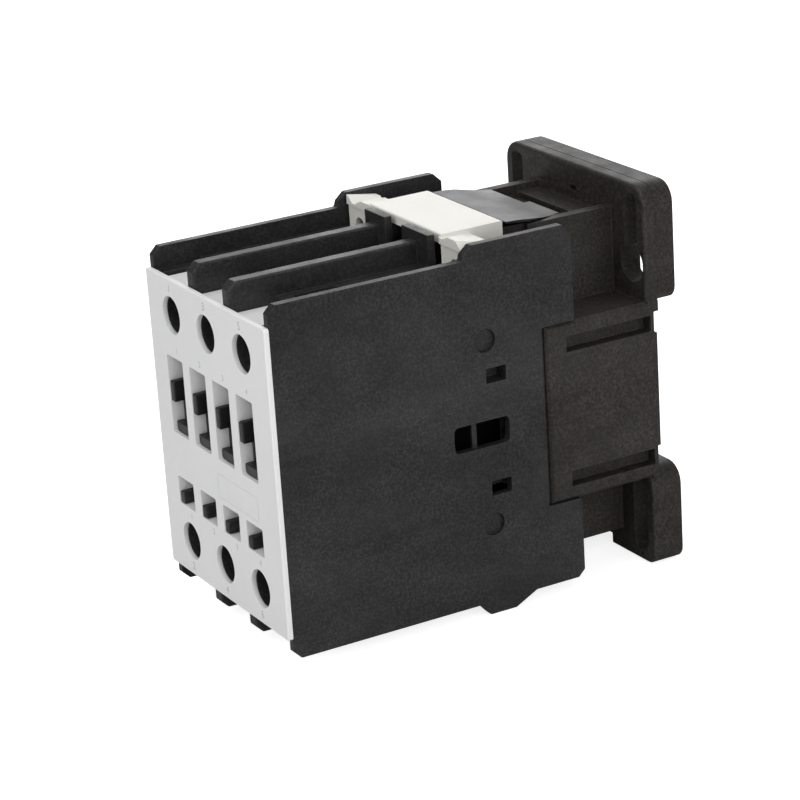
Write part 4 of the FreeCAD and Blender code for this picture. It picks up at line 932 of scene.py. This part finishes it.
def make_coil_terminals():
    for side_name, side in SIDES.items():
        centre = side * COIL_SCREW_ACROSS
        strap = prism("y", card(around(centre, 3.4), (29.5, 38.8), 0.4, 2), 55.4, 56.4, soft=(0.1, 0.1),
                steps=2)
        tail = block(span(15.8, 18.0, side), (55.4, 56.4), (29.5, 33.0))
        mesh = combine([strap, tail], [rod("y", (centre, COIL_SCREW_HEIGHT), 53.0, 58.0, 1.76, 24)])
        piece(f"coil_strap_{side_name}", soften(mesh, 0.0), "root", "tinned_brass",
              [f"coil_terminal_{side_name}"])
        plate = card(around(centre, 3.3), around(COIL_SCREW_HEIGHT, 3.2), 0.4, 2)
        washer = combine([prism("y", plate, 54.4, 55.4, soft=(0.15, 0.1), steps=2)],
                [rod("y", (centre, COIL_SCREW_HEIGHT), 53.0, 58.0, 1.85, 24),
                block(around(centre, 4.0), (55.2, 55.6), around(COIL_SCREW_HEIGHT - 2.0, 0.25))])
        piece(f"coil_washer_{side_name}", soften(washer, 0.0), f"coil_clamp_{side_name}", "zinc_steel",
              [f"coil_clamp_{side_name}"])


# Magnet

def e_outline(back, yoke, pole):
    top, leg = 24.5, 7.0
    return [(back, -top), (back, top), (pole, top), (pole, top - leg), (yoke, top - leg), (yoke, leg),
            (pole, leg), (pole, -leg), (yoke, -leg), (yoke, -top + leg), (pole, -top + leg), (pole, -top)]


def laminated(outline, tools, rivets):
    """A stack of thin E plates between two thicker cheeks, held by rivets; tools makes the cutters."""
    edges = [(-8.0, -7.2)] + [(-7.16 + 0.5 * k, -6.7 + 0.5 * k) for k in range(28)] + [(7.2, 8.0)]
    plates = [combine([prism("x", outline, low, high)], tools()) for low, high in edges]
    core = combine([prism("x", inset(outline, 0.06), -7.9, 7.9)], tools())
    heads = [rod("x", place, -8.0, 8.0, 1.0, 20) for place in rivets]
    return merge(plates + [core] + heads)


def make_cores():
    moving = laminated(e_outline(34.0, 43.0, 56.0), lambda: [rod("x", (38.5, 0.0), -12.0, 12.0, 1.53, 24)],
            [(38.5, 18.0), (38.5, -18.0)])
    piece("moving_stack", moving, "carrier", "core_laminations", ["moving_core"])
    fixed = laminated(e_outline(86.0, 77.0, 62.1), lambda: [block((-10, 10), (60.0, 64.5),
            span(20.6, 21.8, end)) for end in (1, -1)], [(81.5, 12.0), (81.5, -12.0)])
    piece("fixed_stack", fixed, "root", "core_laminations", ["fixed_core"])
    rings = []
    for end in UP_DOWN:
        outer = card((-9.1, 9.1), span(20.7, 25.6, end), 0.7, 3)
        inner = card((-8.1, 8.1), span(21.7, 24.6, end), 0.2, 2)
        rings.append(soften(combine([prism("y", outer, 62.7, 63.9)], [prism("y", inner, 61.0, 66.0)]), 0.1))
    piece("shading_ring_set", merge(rings), "root", "copper", ["shading_rings"])
    pad = prism("y", card((-8.0, 8.0), (-24.5, 24.5), 1.0, 3), 86.0, 87.5, soft=(0.1, 0.3))
    piece("cushion_pad", pad, "root", "cushion_rubber", ["core_cushion"])
    pin = lathe((0.0, 0.0), [(0, -10.7), (1.2, -10.7), (1.5, -10.4), (1.5, 10.4), (1.2, 10.7), (0, 10.7)], 32)
    pin.transform(Matrix.Translation((0, 38.5, 0)) @ Matrix.Rotation(math.pi / 2, 4, "Z"))
    piece("armature_pin", pin, "carrier", "zinc_steel", ["core_pin"])


# Coil

def make_coil():
    flange = card((-18.3, 18.3), (-17.0, 17.0), 1.5, 4)
    added = [prism("y", flange, 50.0, 51.5, soft=(0.3, 0.3)), prism("y", flange, 75.0, 76.5, soft=(0.3, 0.3)),
             block((-9.8, 9.8), (50.5, 76.0), (-8.8, 8.8))]
    for side in LEFT_RIGHT:
        added.append(block(span(9.5, 15.0, side), (50.0, 52.0), (15.0, 32.9)))
    mesh = combine(added, [block((-8.4, 8.4), (48.0, 78.5), (-7.4, 7.4))])
    piece("bobbin_shell", soften(mesh, 0.12), "root", "bobbin_plastic", ["coil_bobbin"])
    start, end, pitch = 52.1, 74.9, 0.6
    outline = card((-17.0, 17.0), (-15.9, 15.9), 3.0, 6)
    rings = []
    turns = round((end - start) / pitch)
    for turn in range(turns):
        for part in range(5):
            share = part / 5
            reach = -0.2 * math.sin(math.pi * share)
            level = start + (turn + share) * pitch * (end - start) / (turns * pitch)
            rings.append([Vector((x, level, z)) for x, z in inset(outline, reach)])
    rings.append([Vector((x, end, z)) for x, z in outline])
    wound = combine([skin(rings)], [block((-9.9, 9.9), (50.0, 78.0), (-8.9, 8.9))])
    piece("winding_turns", wound, "root", "enamelled_copper", ["coil_winding"])
    outer = card((-17.7, 17.7), (-16.6, 16.6), 3.4, 8)
    inner = card((-17.3, 17.3), (-16.2, 16.2), 3.1, 8)
    tape = combine([prism("y", outer, 52.1, 74.9)], [prism("y", inner, 50.0, 78.0)])
    seam = combine([tape], [block((5.9, 6.3), (50.0, 78.0), (16.52, 17.0))])
    piece("tape_wrap", seam, "root", "coil_tape", ["coil_tape"])
    wires = []
    for side in LEFT_RIGHT:
        rings = []
        for k in range(25):
            level = 16.6 + (33.0 - 16.6) * k / 24
            rings.append([Vector((side * 16.5 + 0.45 * math.cos(a), 54.85 + 0.45 * math.sin(a),
                    level)) for a in [2 * math.pi * j / 16 for j in range(16)]])
        wires.append(skin(rings))
    piece("lead_wires", merge(wires), "root", "enamelled_copper", ["coil_leads"])


# Springs

def coil_spring(name, axis, start, end, radius, wire, pitch, body, node):
    """A compression spring with closed ends."""
    length = (Vector(end) - Vector(start)).length
    active = max(2.0, length / pitch - 1.0)
    turns = active + 2.0
    closed = wire * 2.06
    steps = round(turns * 28)
    centres = []
    for k in range(steps + 1):
        turn = turns * k / steps
        if turn < 1:
            rise = closed * turn
        elif turn > turns - 1:
            rise = length - closed * (turns - turn)
        else:
            rise = closed + (length - 2 * closed) * (turn - 1) / active
        angle = 2 * math.pi * turn
        centres.append(Vector((radius * math.cos(angle), radius * math.sin(angle), rise)))
    rings = []
    for k, centre in enumerate(centres):
        before = centres[max(0, k - 1)]
        after = centres[min(steps, k + 1)]
        tangent = (after - before).normalized()
        outward = Vector((centre.x, centre.y, 0)).normalized()
        side = tangent.cross(outward).normalized()
        around_wire = [2 * math.pi * j / 10 for j in range(10)]
        rings.append([centre + (outward * math.cos(a) + side * math.sin(a)) * wire for a in around_wire])
    mesh = skin(rings)
    turn_to = Matrix.Rotation(-math.pi / 2, 4, "X") if axis == "y" else Matrix.Identity(4)
    mesh.transform(Matrix.Translation(start) @ turn_to)
    item = piece(name, mesh, body, "spring_steel", [node])
    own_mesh(item)
    return item


def make_springs():
    for number, centre in POLES.items():
        coil_spring(f"contact_coil_{number}", "y", (centre, 11.4, 0.0), (centre, 16.75, 0.0), 2.5, 0.35, 1.25,
                "carrier", f"contact_spring_{number}")
    for side_name, side in SIDES.items():
        centre = side * 14.5
        coil_spring(f"return_coil_{side_name}", "y", (centre, 31.45, 0.0), (centre, 49.55, 0.0), 2.9, 0.4,
                2.6, "root", f"return_spring_{side_name}")
    middle = (93.45 + 97.0) / 2
    coil_spring("clip_coil", "z", (0.0, middle, -33.65), (0.0, middle, -24.35), 1.6, 0.3, 1.3, "root",
            "rail_clip_spring")


# Rail clip

def make_rail_clip():
    outline = rounded([(93.45, -40.6), (93.45, -15.2), (95.6, -15.2), (97.0, -16.6), (97.0, -40.6)],
            [0.3, 0.2, 0.3, 0.3, 0.3], 2)
    added = [prism("x", outline, -9.7, 9.7, soft=(0.3, 0.3), steps=2)]
    for side in LEFT_RIGHT:
        added.append(block(span(9.0, 11.3, side), (94.3, 96.1), (-40.6, -24.0)))
    removed = [block((-2.7, 2.7), (91.0, 99.0), (-36.2, -24.0)), block((-2.5, 2.5), (91.0, 99.0),
            (-39.6, -38.4))]
    for k in range(4):
        removed.append(block((-6.5, 6.5), (96.75, 99.0), around(-18.6 - 1.3 * k, 0.3)))
    piece("clip_shell", soften(combine(added, removed), 0.15), "rail_clip", "clip_plastic", ["rail_clip"])


make_front_cover()
make_housing()
make_base()
make_slope()
make_terminal_head()
make_carrier()
make_terminals()
make_contacts()
make_screws()
make_coil_terminals()
make_cores()
make_coil()
make_springs()
make_rail_clip()


# Stage

FILL = 0.17
FLOOR_GLOW = 0.8


def make_floor():
    mesh = bmesh.new()
    reach = 6.0
    level = -0.0411
    for x, y in ((-reach, -reach), (reach, -reach), (reach, reach), (-reach, reach)):
        mesh.verts.new((x, y, level))
    mesh.faces.new(mesh.verts)
    data = bpy.data.meshes.new("floor")
    mesh.to_mesh(data)
    mesh.free()
    floor = bpy.data.objects.new("floor", data)
    bpy.context.scene.collection.objects.link(floor)
    g = Graph("floor_white")
    g.link(g.mix(g.noise(8, 3.0), (0.66, 0.66, 0.66), (0.70, 0.70, 0.70)), g.shader.inputs["Base Color"])
    g.shader.inputs["Roughness"].default_value = 0.8
    g.shader.inputs["Specular IOR Level"].default_value = 0.2
    g.shader.inputs["Emission Color"].default_value = (1.0, 1.0, 1.0, 1.0)
    seen = g.add("ShaderNodeLightPath").outputs["Is Camera Ray"]
    g.link(g.times(seen, FLOOR_GLOW), g.shader.inputs["Emission Strength"])
    data.materials.append(g.material)


def area_light(name, place, target, size, power):
    data = bpy.data.lights.new(name, "AREA")
    data.shape = "RECTANGLE"
    data.size, data.size_y = size
    data.energy = power
    light = bpy.data.objects.new(name, data)
    bpy.context.scene.collection.objects.link(light)
    light.location = place
    light.rotation_euler = (Vector(target) - Vector(place)).to_track_quat("-Z", "Y").to_euler()
    light.visible_camera = False
    return light


def make_light():
    """A white surround that the camera sees at full brightness, and four large soft boxes."""
    world = bpy.data.worlds.new("studio")
    bpy.context.scene.world = world
    world.use_nodes = True
    tree = world.node_tree
    back = tree.nodes["Background"]
    back.inputs["Color"].default_value = (1.0, 1.0, 1.0, 1.0)
    path = tree.nodes.new("ShaderNodeLightPath")
    level = tree.nodes.new("ShaderNodeMapRange")
    level.inputs["To Min"].default_value = FILL
    level.inputs["To Max"].default_value = 1.0
    tree.links.new(path.outputs["Is Camera Ray"], level.inputs["Value"])
    tree.links.new(level.outputs["Result"], back.inputs["Strength"])
    middle = (0.0, -0.05, 0.0)
    area_light("top_box", (-0.1, 0.0, 0.9), middle, (1.0, 1.0), 4.6)
    area_light("front_box", (0.15, -0.8, 0.5), middle, (0.7, 0.7), 3.6)
    area_light("right_box", (0.9, -0.1, 0.3), middle, (1.1, 0.9), 6.6)
    area_light("rear_box", (-0.9, 0.5, 0.42), middle, (0.9, 0.6), 5.0)


def make_camera():
    azimuth, elevation, roll = (math.radians(a) for a in (61.500, 19.672, -3.765))
    back = Vector((math.sin(azimuth) * math.cos(elevation), -math.cos(azimuth) * math.cos(elevation),
            math.sin(elevation)))
    right = Vector((0, 0, 1)).cross(back).normalized()
    up = back.cross(right)
    across = right * math.cos(roll) + up * math.sin(roll)
    along = up * math.cos(roll) - right * math.sin(roll)
    data = bpy.data.cameras.new("camera")
    data.sensor_width = 36.0
    data.lens = 36.0 * 2935.6 / 800
    data.clip_start = 0.01
    data.clip_end = 30.0
    camera = bpy.data.objects.new("camera", data)
    bpy.context.scene.collection.objects.link(camera)
    turn = Matrix((across, along, back)).transposed().to_4x4()
    camera.matrix_world = Matrix.Translation((0.52354, -0.33792, 0.21398)) @ turn
    bpy.context.scene.camera = camera


make_floor()
make_light()
make_camera()
bpy.context.scene.view_settings.view_transform = "Standard"
